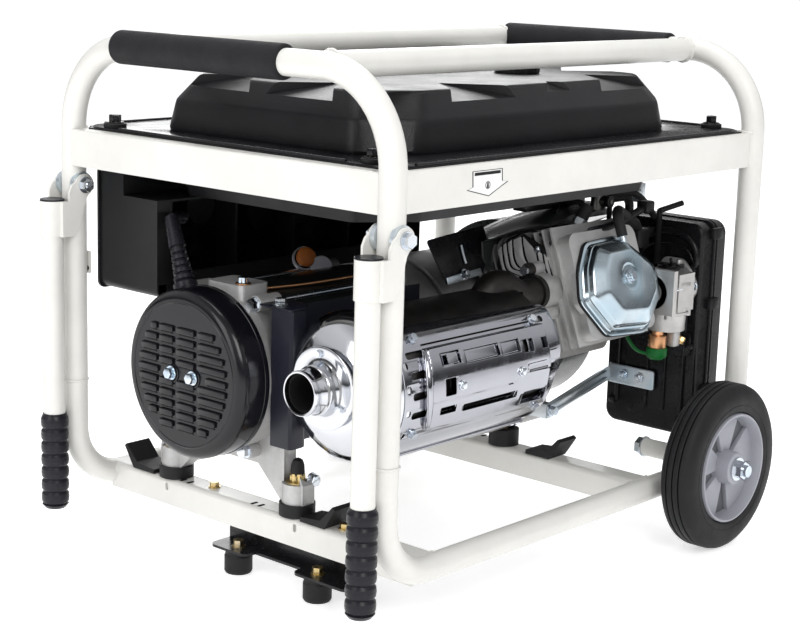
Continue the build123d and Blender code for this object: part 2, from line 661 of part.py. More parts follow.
bearing_x0 = 40.0
bearing_x1 = 56.0
casting = ring(on_crank(cover_open_x), on_crank(bracket_end_x), 91, 84)
casting += rod(on_crank(cover_open_x), on_crank(cover_open_x + 9), 88)
casting += rod(on_crank(cover_open_x), on_crank(58), 38)
casting -= rod(on_crank(bearing_x0), on_crank(90), bearing_r)
for turn in range(0, 360, 60):
    port = Pos(*on_crank(cover_open_x)) * Rot(turn + 30, 0, 0) * Pos(0, 0, 62) * Box(30, 26, 30)
    casting -= port
foot_top = 50.0
foot_underside = 28.0
arch_top = 62.0
shoulder_z = 120.0
half_arch = [
    (46, arch_top), (82, foot_underside), (116, foot_underside), (116, foot_top), (80, shoulder_z),
]
arch_points = [(crank_y + across, z) for across, z in half_arch]
arch_points += [(crank_y - across, z) for across, z in reversed(half_arch)]
legs = slab(arch_points, side_plane(58), 18)
legs = legs - rod(on_crank(0), on_crank(200), 84.0)
casting += legs
for y in alternator_mount_ys:
    casting += rod((mount_bolt_x, y, foot_underside), (mount_bolt_x, y, foot_top), 17)
    casting -= rod((mount_bolt_x, y, 0), (mount_bolt_x, y, 100), 5.0)
    casting -= rod((mount_bolt_x, y, foot_top), (mount_bolt_x, y, foot_top + 50), 15.0)
lead_block_x0 = 34.0
lead_block = box(lead_block_x0, bracket_end_x, 244, 300, crank_z + 70, crank_z + 98)
casting += fillet(lead_block.edges().filter_by(Axis.Z), 6.0) - rod(on_crank(0), on_crank(200), 84)
earth_seat = (lead_block_x0 + 12, 254, crank_z + 98)
machine_bolts.append(hex_bolt(earth_seat, (0, 0, 1), 11, 6, 3, 12, 8))
bolt_ring_r = 96.0
ear_points = []
for turn in (56.0, 124.0, 244.0, 296.0):
    across = bolt_ring_r * cos(radians(turn))
    up = bolt_ring_r * sin(radians(turn))
    ear_points.append((across, up))
    casting += rod(on_crank(44, across, up), on_crank(bracket_end_x, across, up), 9)
    ear_length = stator_end_x + 12 - 44
    machine_bolts.append(hex_bolt(on_crank(44, across, up), (-1, 0, 0), 12, 7, 3.5, ear_length, 8))

keep("rear_bearing", ring(on_crank(bearing_x0), on_crank(bearing_x1), bearing_r, shaft_r + bearing_gap))

stator = ring(on_crank(bracket_end_x), on_crank(stator_end_x), 90, 64)
keep("stator", stator)

adapter = turned(
    [
        (stator_end_x, 91), (stator_end_x, 84), (adapter_end_x - 12, 84), (adapter_end_x - 12, 30),
        (adapter_end_x, 30), (adapter_end_x, 80), (adapter_end_x - 8, 91),
    ],
    on_crank(0), (1, 0, 0),
)
for across, up in ear_points:
    adapter += rod(on_crank(stator_end_x, across, up), on_crank(stator_end_x + 16, across, up), 9)
adapter -= rod(on_crank(stator_end_x - 5), on_crank(stator_end_x + 30), 84)

# ---------------------------------------------------------------- engine
tilt = radians(cylinder_tilt)
cylinder_out = Vector(0, -cos(tilt), sin(tilt))
cylinder_up = Vector(0, sin(tilt), cos(tilt))


def on_cylinder(out, along=0.0, up=0.0):
    """A point by its distance out from the crankshaft, along it from the bore, and above the bore."""
    base = Vector(cylinder_x + along, crank_y, crank_z)
    return tuple(base + cylinder_out * out + cylinder_up * up)


def cylinder_plane(out):
    """A plane square to the bore, drawn in (along the crankshaft, above the bore)."""
    return Plane(origin=on_cylinder(out), x_dir=(1, 0, 0), z_dir=cylinder_out)


def cylinder_block(out0, out1, half_along, up0, up1):
    """A block lined up with the bore."""
    middle = Vector(*on_cylinder((out0 + out1) / 2, 0, (up0 + up1) / 2))
    plane = Plane(origin=middle, x_dir=(1, 0, 0), z_dir=cylinder_out)
    return plane * Box(2 * half_along, up1 - up0, out1 - out0)


case_x0 = adapter_end_x
case_x1 = 530.0
case_r = 92.0
sump_floor_z = 34.0
deck = 172.0                # cylinder deck, out from the crankshaft
head_top = 246.0
crank_space_r = 66.0

crankcase = rod(on_crank(case_x0), on_crank(case_x1), case_r)
sump = box(378, 526, crank_y - 88, crank_y + 88, sump_floor_z, crank_z)
sump = fillet(sump.edges().filter_by(Axis.X).group_by(Axis.Z)[0], 14.0)
crankcase += sump
crankcase += rod(on_cylinder(20), on_cylinder(deck), 54)
fin_count = 8
fin_pitch = 9.0
fin_sheet = 3.0
for fin in range(fin_count):
    out = deck - 4 - fin * fin_pitch
    plate = extrude(cylinder_plane(out) * RectangleRounded(134, 156, 18), amount=fin_sheet, both=False)
    crankcase += plate
crankcase -= rod(on_crank(394), on_crank(510), crank_space_r)
crankcase -= rod(on_cylinder(0), on_cylinder(deck + 5), bore_r)
journal_r = 20.0
crankcase -= rod(on_crank(case_x0 - 5), on_crank(case_x1 + 5), journal_r + bearing_gap)
crankcase -= box(400, 504, crank_y - 76, crank_y + 76, sump_floor_z + 8, crank_z - 20)

mounts = []
for y in alternator_mount_ys:
    mount = ring((mount_bolt_x, y, tube_r), (mount_bolt_x, y, foot_underside), 20, 5)
    mounts.append(mount)
for y in engine_mount_ys:
    mounts.append(ring((engine_bolt_x, y, tube_r), (engine_bolt_x, y, sump_floor_z), 19, 5))


def snubber(x, y, spread):
    """A folded rubber flap: a foot bolted flat to the crossbar and a wing that leans outwards."""
    foot_part = slab(
        [(-26, 0), (10, 0), (26, 24), (22, 27), (4, 8), (-26, 5)],
        Plane(origin=(x, y, tube_r), x_dir=(0, -spread, 0), z_dir=(-spread, 0, 0)),
        17.0,
    )
    foot_part += mirror(foot_part, about=Plane(origin=(x, y, tube_r), z_dir=(1, 0, 0)))
    return foot_part


snubber_spots = ((mount_bolt_x, 140.0, 1), (mount_bolt_x, 432.0, -1), (engine_bolt_x, 137.0, 1))
for x, y, spread in snubber_spots:
    mounts.append(snubber(x, y, spread))
mount_bolts = []
for y in alternator_mount_ys:
    mount_bolts.append(hex_bolt((mount_bolt_x, y, foot_top), (0, 0, 1), 15, 9, 5, foot_top - 6, 13))
    mount_bolts[-1] += rod((mount_bolt_x, y, foot_top + 9), (mount_bolt_x, y, foot_top + 20), 5)
for y in engine_mount_ys:
    mount_bolts.append(hex_bolt((engine_bolt_x, y, 10.9), (0, 0, -1), 15, 8, 5, sump_floor_z, 11))
for y in spare_bolt_ys:
    mount_bolts.append(hex_bolt((mount_bolt_x, y, tube_r), (0, 0, 1), 10, 5, 3, 9, 7))
for bolt in mount_bolts:
    crankcase -= bolt
for index, piece in enumerate(mounts):
    for bolt in mount_bolts:
        mounts[index] = mounts[index] - bolt
keep("rubber_mounts", group(*mounts))
keep("frame_fasteners", group(*mount_bolts, *foot_bolts, *bracket_bolts, *tank_bolts))

head = cylinder_block(deck, head_top, 66, -66, 60)
head = fillet(head.edges().filter_by(lambda edge: abs(edge.length - (head_top - deck)) < 0.5), 14.0)
exhaust_out = 202.0
port_r = 20.5
head += rod(on_cylinder(exhaust_out, -50, 4), on_cylinder(exhaust_out, -90, 4), port_r)
head += rod(on_cylinder(exhaust_out + 20, 50, -16), on_cylinder(exhaust_out + 20, 82, -16), port_r)
for fin in range(5):
    head += cylinder_block(deck + 6 + fin * 12, deck + 9 + fin * 12, 70, -70, 72)
head -= rod(on_cylinder(exhaust_out, -40, 4), on_cylinder(exhaust_out, -95, 4), 13)
head -= rod(on_cylinder(exhaust_out + 20, 40, -16), on_cylinder(exhaust_out + 20, 90, -16), 13)
chamber = rod(on_cylinder(deck - 1), on_cylinder(deck + 9), bore_r - 4)
head -= chamber

cover_corners = [(-42, 47), (22, 49), (79, 7), (76, -36), (36, -71), (-41, -65), (-76, -20), (-65, 18)]


def rocker_outline(shrink):
    return [(along * shrink, up * shrink) for along, up in cover_corners]


def rocker_layer(out, depth, shrink, corner_r):
    """One layer of the rocker cover's outline, square to the bore."""
    layer = slab(rocker_outline(shrink), cylinder_plane(out), depth)
    return fillet(layer.edges().filter_by(lambda edge: abs(edge.length - depth) < 0.1), corner_r)


def rocker_section(out, shrink, corner_r):
    section = cylinder_plane(out) * make_face(Polyline(*rocker_outline(shrink), close=True))
    return fillet(section.vertices(), corner_r)


cover_sheet = 2.0
flange_top = head_top + 5.0
dome_top = head_top + 26.0
head += rocker_layer(head_top - 7, 7, 1.0, 9)
head -= rocker_layer(head_top - 30, 31, 0.72, 6)
rocker_cover = rocker_layer(head_top, 5, 1.0, 9)
rocker_cover += loft([rocker_section(flange_top, 0.9, 9), rocker_section(dome_top, 0.72, 8)])
rocker_cover -= loft([rocker_section(head_top, 0.9, 9), rocker_section(dome_top - cover_sheet, 0.69, 8)])
rocker_cover += rod(on_cylinder(head_top, 0, -3), on_cylinder(dome_top, 0, -3), 7)
head += rod(on_cylinder(head_top - 32, 0, -3), on_cylinder(head_top, 0, -3), 7)
machine_bolts.append(hex_bolt(on_cylinder(dome_top, 0, -3), tuple(cylinder_out), 10, 5, 3, 40, 8))
breather = on_cylinder(head_top + 14, 20, 36)
breather_top = on_cylinder(head_top + 14, 20, 56)
rocker_cover += rod(breather, breather_top, 4)

# black sheet metal: the shroud over the barrel, its side sheet, and the guard beside the alternator
shroud = cylinder_block(96, 214, 76, 40, 84) - cylinder_block(90, 240, 73, 30, 81)
side_sheet = slab([(-174, 89), (-78, 96), (-93, 39), (-157, 35)], cylinder_plane(128), 2)
guard_y = 166.0
guard_front_x = 33.0
guard_sheet = 2.0
guard_bottom = 96.0
guard_top = 246.0
guard = box(guard_front_x, guard_front_x + guard_sheet, guard_y, 192, guard_bottom, guard_top)
guard += box(guard_front_x, 54, guard_y, guard_y + guard_sheet, guard_bottom, guard_top)
guard += box(guard_front_x, 54, guard_y, 218, guard_top, guard_top + guard_sheet)

fan_x0 = case_x1
fan_x1 = 592.0
fan_r = 118.0
fan_housing = rod(on_crank(fan_x0), on_crank(fan_x1), fan_r)
fan_housing = fillet(fan_housing.edges().sort_by(Axis.X)[-1:], 8.0)
fan_housing -= rod(on_crank(fan_x0 + 3), on_crank(fan_x1 - 3), fan_r - 4)
fan_housing -= rod(on_crank(fan_x0 - 5), on_crank(fan_x0 + 10), 26)
fan_housing -= rod(on_crank(fan_x1 - 10), on_crank(fan_x1 + 10), 70)

recoil_x1 = 642.0
recoil = rod(on_crank(fan_x1), on_crank(recoil_x1), 92)
recoil = fillet(recoil.edges().sort_by(Axis.X)[-1:], 14.0)
recoil_space = rod(on_crank(fan_x1 - 5), on_crank(recoil_x1 - 4), 88)
recoil -= fillet(recoil_space.edges().sort_by(Axis.X)[-1:], 10.0)
recoil += ring(on_crank(fan_x1), on_crank(fan_x1 + 4), 105, 89)
for turn in range(45, 360, 90):
    across = 98 * cos(radians(turn))
    up = 98 * sin(radians(turn))
    machine_bolts.append(hex_bolt(on_crank(fan_x1 + 4, across, up), (1, 0, 0), 9, 5, 3, 6, 7))
slot_count = 16
for slot_index in range(slot_count):
    turn = 2 * pi * slot_index / slot_count
    centre = Pos(*on_crank(recoil_x1, 58 * cos(turn), 58 * sin(turn))) * Rot(degrees(turn), 0, 0)
    recoil -= centre * Box(30, 32, 7)
rope_x = recoil_x1 - 25
recoil += rod((rope_x, crank_y + 87, crank_z), (rope_x, crank_y + 104, crank_z), 10)
recoil -= rod((rope_x, crank_y + 60, crank_z), (rope_x, crank_y + 110, crank_z), 3.2)

# rotating set: crankshaft, rotor and flywheel
crank_pin_throw = 32.0
crankshaft = rod(on_crank(40), on_crank(300), shaft_r)
crankshaft += rod(on_crank(300), on_crank(412), journal_r)
crankshaft += rod(on_crank(492), on_crank(548), journal_r)
crankshaft += rod(on_crank(548), on_crank(590), shaft_r)
for x in (412, 478):
    web = box(x, x + 14, crank_y - 22, crank_y + 22, crank_z - 58, crank_z + crank_pin_throw + 18)
    lower_half = box(x, x + 14, crank_y - 60, crank_y + 60, crank_z - 60, crank_z - 8)
    web += rod(on_crank(x), on_crank(x + 14), 58) & lower_half
    crankshaft += web
crankshaft += rod(on_crank(426, 0, crank_pin_throw), on_crank(478, 0, crank_pin_throw), 16)
keep("crankshaft", crankshaft)

rotor = ring(on_crank(96), on_crank(244), 63.2, shaft_r)
for turn in (0, 180):
    side = cos(radians(turn))
    rotor -= box(90, 250, crank_y + side * 44 - 12, crank_y + side * 44 + 12, crank_z + 18, crank_z + 80)
    rotor -= box(90, 250, crank_y + side * 44 - 12, crank_y + side * 44 + 12, crank_z - 80, crank_z - 18)
fan_disc = ring(on_crank(264), on_crank(268), 76, shaft_r)
rotor_fan = fan_disc
for blade in range(16):
    turn = 360 * blade / 16
    vane = Pos(*on_crank(276)) * Rot(turn, 0, 0) * Pos(0, 0, 60) * Box(18, 2.5, 28)
    rotor_fan += vane
keep("rotor", group(rotor, rotor_fan))

flywheel = ring(on_crank(552), on_crank(566), 100, shaft_r)
flywheel += ring(on_crank(566), on_crank(580), 40, shaft_r)
for blade in range(20):
    turn = 360 * blade / 20
    flywheel += Pos(*on_crank(574)) * Rot(turn, 0, 0) * Pos(0, 0, 80) * Box(18, 3, 36)
keep("flywheel", flywheel)

# recoil pull grip on its rope
grip_y = crank_y + 104.5
pull_grip = rod((rope_x, grip_y + 10, crank_z - 26), (rope_x, grip_y + 10, crank_z + 26), 8)
pull_grip = fillet(pull_grip.edges(), 5.0)
pull_grip += rod((rope_x, grip_y, crank_z), (rope_x, grip_y + 10, crank_z), 7.5)
rope_stub = rod((rope_x, crank_y - 80, crank_z), (rope_x, grip_y, crank_z), 2.5)
keep("recoil_grip", pull_grip + rope_stub)

# oil filler plug and drain
filler_y = crank_y - 88.0
filler_x = 395.0
filler_z = 95.0
dip_out = Vector(0, -1, 0.35).normalized()
filler_seat = Vector(filler_x, filler_y, filler_z)
crankcase += rod(tuple(filler_seat - dip_out * 10), tuple(filler_seat + dip_out * 10), 14)
plug_seat = filler_seat + dip_out * 10
crankcase -= rod(tuple(filler_seat - dip_out * 30), tuple(plug_seat + dip_out * 5), 9)
dipstick = rod(tuple(plug_seat - dip_out * 22), tuple(plug_seat + dip_out * cap_gap), 8.8)
dipstick += rod(tuple(plug_seat + dip_out * cap_gap), tuple(plug_seat + dip_out * 12), 13)
dipstick += Plane(origin=plug_seat + dip_out * 15, z_dir=dip_out, x_dir=(1, 0, 0)) * Box(22, 5, 8)
keep("oil_filler_plug", dipstick)

# muffler: shell, end cone and tail pipe
muffler_axis = (0, muffler_y, muffler_z)
tail_z = 5.0
shell = turned(
    [
        (muffler_x0, 0), (muffler_x0, 60), (muffler_x0 + 6, 72), (muffler_x0 + 14, muffler_r),
        (muffler_x1 - 14, muffler_r), (muffler_x1 - 6, 72), (muffler_x1, 60), (muffler_x1, 0),
        (muffler_x1 - 3, 0), (muffler_x1 - 3, 58), (muffler_x1 - 8, 69), (muffler_x1 - 15, muffler_r - 2),
        (muffler_x0 + 15, muffler_r - 2), (muffler_x0 + 8, 69), (muffler_x0 + 3, 58), (muffler_x0 + 3, 0),
    ],
    muffler_axis, (1, 0, 0),
)
tail_flange_x = 22.0
tail_axis = (0, muffler_y + 1, muffler_z + tail_z)
tail = turned(
    [
        (-10, 23.5), (-10, 21), (54, 21), (54, 36), (muffler_x0, 38), (muffler_x0, 40), (50, 40), (27, 30),
        (25, 30), (25, 44), (tail_flange_x, 44), (tail_flange_x, 28), (20, 25), (16, 23.5),
    ],
    tail_axis, (1, 0, 0),
)
muffler = shell + (tail - rod((muffler_x0, muffler_y, muffler_z), (100, muffler_y, muffler_z), 70))
for y, z in ((114.0, 213.0), (83.0, 160.0)):
    machine_bolts.append(hex_bolt((tail_flange_x, y, z), (-1, 0, 0), 7, 3, 2, 6, 4.5))
elbow_start = on_cylinder(exhaust_out, -90, 4)
elbow_y = elbow_start[1]
elbow_z = elbow_start[2]
elbow_points = [
    elbow_start, (elbow_start[0] - 34, elbow_y, elbow_z), (292, muffler_y, 262), (268, muffler_y, 216),
]
elbow = bent_rod(elbow_points, [20, 22], 17) - bent_rod(elbow_points, [20, 22], 15)
elbow_flange = rod(elbow_start, (elbow_start[0] - 7, elbow_y, elbow_z), 20)
for side in (-1, 1):
    lug_up = 4 + side * 27
    head += rod(on_cylinder(exhaust_out, -50, lug_up), on_cylinder(exhaust_out, -90, lug_up), 8)
    elbow_flange += rod(on_cylinder(exhaust_out, -90, lug_up), on_cylinder(exhaust_out, -97, lug_up), 8)
    elbow_bolt = hex_bolt(on_cylinder(exhaust_out, -97, lug_up), (-1, 0, 0), 10, 7, 3.5, 25)
    elbow_flange -= elbow_bolt
    machine_bolts.append(elbow_bolt)
elbow_flange -= rod(on_cylinder(exhaust_out, -80, 4), on_cylinder(exhaust_out, -110, 4), 14)
elbow = elbow + elbow_flange
elbow = elbow - rod((muffler_x0, muffler_y, muffler_z), (muffler_x1, muffler_y, muffler_z), muffler_r)
keep("exhaust_elbow", elbow.solids().sort_by(SortBy.VOLUME)[-1])

shield_x0 = 66.0
shield_x1 = 320.0
shield_r = 82.0
shield = ring((shield_x0, muffler_y, muffler_z), (shield_x1, muffler_y, muffler_z), shield_r, shield_r - 1.5)
wedge_low = radians(-78)
wedge_high = radians(62)
far = 200.0
wedge = [
    (muffler_y, muffler_z),
    (muffler_y - far * cos(wedge_high), muffler_z + far * sin(wedge_high)),
    (muffler_y - far * 1.6, muffler_z),
    (muffler_y - far * cos(wedge_low), muffler_z + far * sin(wedge_low)),
]
shield = shield & slab(wedge, side_plane(0), 700)
vent_angles = (-42, -24, 6, 26)
for angle in vent_angles:
    for x in (118, 190, 262):
        turn = radians(angle)
        centre = Pos(x, muffler_y - shield_r * cos(turn), muffler_z + shield_r * sin(turn))
        shield -= centre * Rot(-angle, 0, 0) * Box(46, 16, 6)
stand_off_r = shield_r - 1.9
stand_offs = Part()
shield_bolt_spots = ((90.0, 44.0), (283.0, 39.0), (79.0, -28.0), (293.0, -35.0))
for x, angle in shield_bolt_spots:
    turn = radians(angle)
    start = (x, muffler_y - 70 * cos(turn), muffler_z + 70 * sin(turn))
    end = (x, muffler_y - stand_off_r * cos(turn), muffler_z + stand_off_r * sin(turn))
    stand_offs += rod(start, end, 5)
    seat = (x, muffler_y - (shield_r + 0.1) * cos(turn), muffler_z + (shield_r + 0.1) * sin(turn))
    machine_bolts.append(hex_bolt(seat, (0, -cos(turn), sin(turn)), 8, 4, 2.5, 5, 5.5))
inside_start = (muffler_x0 + 14, muffler_y, muffler_z)
muffler += stand_offs - rod(inside_start, (muffler_x1 - 14, muffler_y, muffler_z), muffler_r - 1)

# carburettor, air cleaner and its strut
carb_y = 52.0
carb_z = 222.0
intake = Vector(*on_cylinder(exhaust_out + 20, 82, -16))
carb_x0 = intake.X
carb_x1 = 600.0
carburettor = rod((carb_x0, carb_y, carb_z), (carb_x1, carb_y, carb_z), 21)
carburettor += box(carb_x0, carb_x0 + 8, carb_y - 30, intake.Y + 28, carb_z - 26, intake.Z + 26)
carburettor += box(carb_x0 + 18, carb_x0 + 52, carb_y - 26, carb_y + 26, carb_z - 24, carb_z + 22)
carburettor += rod((carb_x0 + 34, carb_y, carb_z - 24), (carb_x0 + 34, carb_y, carb_z - 50), 23)
carburettor -= rod((carb_x0 - 5, carb_y, carb_z), (carb_x1 + 5, carb_y, carb_z), 13)
carburettor -= rod((carb_x0 - 5, intake.Y, intake.Z), (carb_x0 + 6, intake.Y, intake.Z), 13)
fuel_barb_x = carb_x0 + 38
carburettor += rod((fuel_barb_x, carb_y + 20, carb_z + 6), (fuel_barb_x, carb_y + 42, carb_z + 6), 3)
solenoid_x = carb_x0 + 17
solenoid = rod((solenoid_x, carb_y, carb_z - 50), (solenoid_x, carb_y, carb_z - 58), 6)
solenoid += rod((solenoid_x, carb_y, carb_z - 56), (solenoid_x, carb_y, carb_z - 80), 11)
keep("fuel_cut_solenoid", solenoid)
choke_x = carb_x1 - 12
choke_pin = rod((choke_x, carb_y, carb_z + 18), (choke_x, carb_y, carb_z + 34), 3)
carburettor += choke_pin
choke_z = carb_z + 25
choke_reach = 30.0          # the lever's riser stands this far behind its pin
choke_top = choke_z + 68
choke = rod((choke_x, carb_y, choke_z), (choke_x, carb_y, choke_z + 4), 8)
riser_y = carb_y + choke_reach
choke += box(choke_x - 4, choke_x + 4, carb_y, riser_y + 3, choke_z, choke_z + 3)
choke += box(choke_x - 4, choke_x + 4, riser_y, riser_y + 3, choke_z, choke_top)
choke_tip = (choke_x + 32, riser_y - 10, choke_top + 6)
choke += rod((choke_x, riser_y + 1.5, choke_top - 2), choke_tip, 3.5)
choke -= rod((choke_x, carb_y, carb_z + 10), (choke_x, carb_y, carb_z + 40), 3 + bearing_gap)
keep("choke_lever", choke)
keep("carburettor", carburettor)

air_x0 = carb_x1
air_x1 = 652.0
air_y0 = 27.0
air_y1 = 158.0
air_z0 = 32.0
air_z1 = 301.0
air_case = box(air_x0, air_x1, air_y0, air_y1, air_z0, air_z1)
air_case = fillet(air_case.edges().filter_by(Axis.X), 16.0)
air_case = fillet(air_case.edges().group_by(Axis.X)[0], 4.0)
air_space = box(air_x0 + 3, air_x1 - 3, air_y0 + 3, air_y1 - 3, air_z0 + 3, air_z1 - 3)
air_case -= fillet(air_space.edges().filter_by(Axis.X), 13.0)
air_case -= rod((air_x0 - 5, carb_y, carb_z), (air_x0 + 10, carb_y, carb_z), 13)
split = box(air_x1 - 22, air_x1 + 5, air_y0 - 5, air_y1 + 5, air_z0 - 5, air_z1 + 5)
element = box(air_x0 + 14, air_x1 - 6, air_y0 + 14, air_y1 - 14, 190, air_z1 - 12)
element -= box(air_x0 + 5, air_x1 - 20, air_y0 + 28, air_y1 - 28, 204, air_z1 - 26)
keep("air_filter_element", element)

strut_y = 150.0
strut_x = 463.0
strut = slab([(strut_x, 58), (air_x0 - 3, 88), (air_x0 - 3, 104), (strut_x, 76)], long_plane(strut_y), 3)
strut += box(strut_x, strut_x + 12, strut_y, crank_y - 88, 58, 76)
strut += box(air_x0 - 3, air_x0, 92, strut_y, 84, 108)
machine_bolts.append(hex_bolt((strut_x + 6, strut_y - 3, 67), (0, -1, 0), 10, 6, 3, 60, 8))
for y in (104, 128):
    machine_bolts.append(hex_bolt((air_x0 - 3, y, 96), (-1, 0, 0), 9, 5, 3, 6, 6))
drain_seat = (456, crank_y - 88, 50)
machine_bolts.append(hex_bolt(drain_seat, (0, -1, 0), 14, 8, 5, 10, 10))

# spark plug in the head, then the hoses and leads
plug_seat_point = Vector(*on_cylinder(head_top - 30, 0, 72))
spark_dir = (Vector(*on_cylinder(head_top - 12, 14, 100)) - plug_seat_point).normalized()
spark_base = plug_seat_point - spark_dir * 8
spark = rod(tuple(spark_base), tuple(spark_base + spark_dir * 26), 5)
spark += extrude(Plane(origin=spark_base + spark_dir * 8, z_dir=spark_dir) * RegularPolygon(9, 6), amount=8)
head -= rod(tuple(spark_base - spark_dir), tuple(spark_base + spark_dir * 40), 10.5)
shroud -= rod(tuple(spark_base), tuple(spark_base + spark_dir * 60), 13)
keep("engine_shroud", group(shroud, side_sheet, guard))
keep("spark_plug", spark)

coil_x = 560.0
coil_tip = on_crank(coil_x, -59, 106)
fan_housing += rod(on_crank(coil_x, -55, 99), coil_tip, 5)
boot_end = spark_base + spark_dir * 34
spark_boot = rod(tuple(spark_base + spark_dir * 16.3), tuple(boot_end), 8)
spark_boot -= rod(tuple(spark_base), tuple(spark_base + spark_dir * 26.3), 5.1)
spark_lead = bent_rod(
    [
        tuple(boot_end - spark_dir * 3), tuple(boot_end + Vector(0, 14, 2)), (500, 190, 322),
        on_crank(coil_x, -71, 127), coil_tip,
    ],
    7, 3.5,
)
hose_start = (petcock_x + 13, petcock_y, petcock_z)
fuel_path = [
    hose_start, (fuel_barb_x, petcock_y, petcock_z), (fuel_barb_x, petcock_y, carb_z + 6),
    (fuel_barb_x, carb_y + 28, carb_z + 6),
]
fuel_hose = bent_rod(fuel_path, 14, 5.5) - bent_rod(fuel_path, 14, 3.3)
air_stub_z = 284.0
air_stub = (air_x0 - 12, 100, air_stub_z)
breather_start = Vector(*breather_top) - cylinder_up * 10
breather_path = [
    tuple(breather_start), tuple(breather_start + cylinder_up * 34), (548, 92, air_stub_z + 16),
    (air_x0 - 30, 100, air_stub_z), (air_x0 - 1, 100, air_stub_z),
]
breather_hose = bent_rod(breather_path, 12, 6.5) - bent_rod(breather_path, 12, 4.3)
air_case += rod((air_x0 + 1, 100, air_stub_z), air_stub, 4)
keep("engine_hoses", group(spark_boot + spark_lead, fuel_hose, breather_hose))

boot_base = Vector(22, 318, 248)
boot_dir = Vector(12, 34, 58).normalized()
rings = []
for rib in range(5):
    at = 12 + rib * 8
    width = 11.6 - rib * 0.7
    rings += [(at, width - 2.2), (at, width), (at + 4, width), (at + 4, width - 2.2)]
boot = turned(
    [(-8, 0), (-8, 10), (2, 13.5), (8, 13.5), (10, 10)] + rings + [(60, 6.8), (66, 6), (66, 0)],
    tuple(boot_base), tuple(boot_dir),
)
lead = bent_rod(
    [tuple(boot_base + boot_dir * 60), tuple(boot_base + boot_dir * 84), (68, 372, 320), (88, 410, 312)],
    10, 4.5,
)
keep("output_lead", boot + lead)
cover -= boot
casting -= boot
for bolt in machine_bolts:
    cover -= bolt
    casting -= bolt
    adapter -= bolt
    rocker_cover -= bolt
    head -= bolt
    muffler -= bolt
    shield -= bolt
    strut -= bolt
    air_case -= bolt
    crankcase -= bolt
    recoil -= bolt
    fan_housing -= bolt
keep("machine_bolts", group(*machine_bolts))
keep("recoil_cover", recoil)
keep("fan_housing", fan_housing)
keep("air_cleaner_strut", strut)
keep("air_cleaner_case", air_case - split)
keep("air_cleaner_cover", air_case & split)

keep("alternator_adapter", adapter - rod(on_crank(0), on_crank(260), 95))
keep("crankcase", crankcase)
keep("cylinder_head", head)
keep("rocker_cover", rocker_cover)
keep("muffler", muffler)
keep("heat_shield", shield)
keep("alternator_end_cover", cover)
keep("alternator_end_bracket", casting)

for name, shape in nodes.items():
    export_step(shape, f"parts/{name}.step")
print(len(nodes), "nodes")
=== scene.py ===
import bpy
import bmesh
import json
from math import cos, degrees, pi, radians, sin
from mathutils import Matrix, Vector


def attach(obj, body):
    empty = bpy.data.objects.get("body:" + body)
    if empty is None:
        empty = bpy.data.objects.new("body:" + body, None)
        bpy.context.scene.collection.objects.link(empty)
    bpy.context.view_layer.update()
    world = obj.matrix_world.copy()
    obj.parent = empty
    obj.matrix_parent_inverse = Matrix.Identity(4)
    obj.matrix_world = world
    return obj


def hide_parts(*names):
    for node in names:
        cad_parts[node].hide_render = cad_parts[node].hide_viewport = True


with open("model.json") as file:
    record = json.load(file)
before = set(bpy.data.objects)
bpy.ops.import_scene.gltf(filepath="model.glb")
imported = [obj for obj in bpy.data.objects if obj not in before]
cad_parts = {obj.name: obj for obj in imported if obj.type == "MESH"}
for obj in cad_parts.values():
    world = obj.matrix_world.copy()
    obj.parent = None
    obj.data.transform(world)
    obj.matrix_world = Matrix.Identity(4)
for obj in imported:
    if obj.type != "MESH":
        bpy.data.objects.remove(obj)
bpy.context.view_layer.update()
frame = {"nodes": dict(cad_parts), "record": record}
nodes = frame["nodes"]

# Stations, as in the design: x from the left hoop, y from the muffler side, z from the bottom rails,
# in millimetres. The design's own sizes that the pieces below share:
STATION_ORIGIN = Vector((-311.0, -242.5, 76.0))
CRANK_Y, CRANK_Z = 286.0, 164.0
MUFFLER_Y, MUFFLER_Z = 108.0, 172.0
CYLINDER_X = 452.0
TILT = radians(20.0)

# Directions of the stations, and the sockets of a colour mix node by their places in its lists.
LEFT, RIGHT, NEAR, FAR, UP = (-1, 0, 0), (1, 0, 0), (0, -1, 0), (0, 1, 0), (0, 0, 1)
MIX_FIRST, MIX_SECOND, MIX_RESULT = 6, 7, 2


def at(x, y, z):
    """A design station in metres in the shared frame."""
    return (Vector((x, y, z)) + STATION_ORIGIN) * 0.001


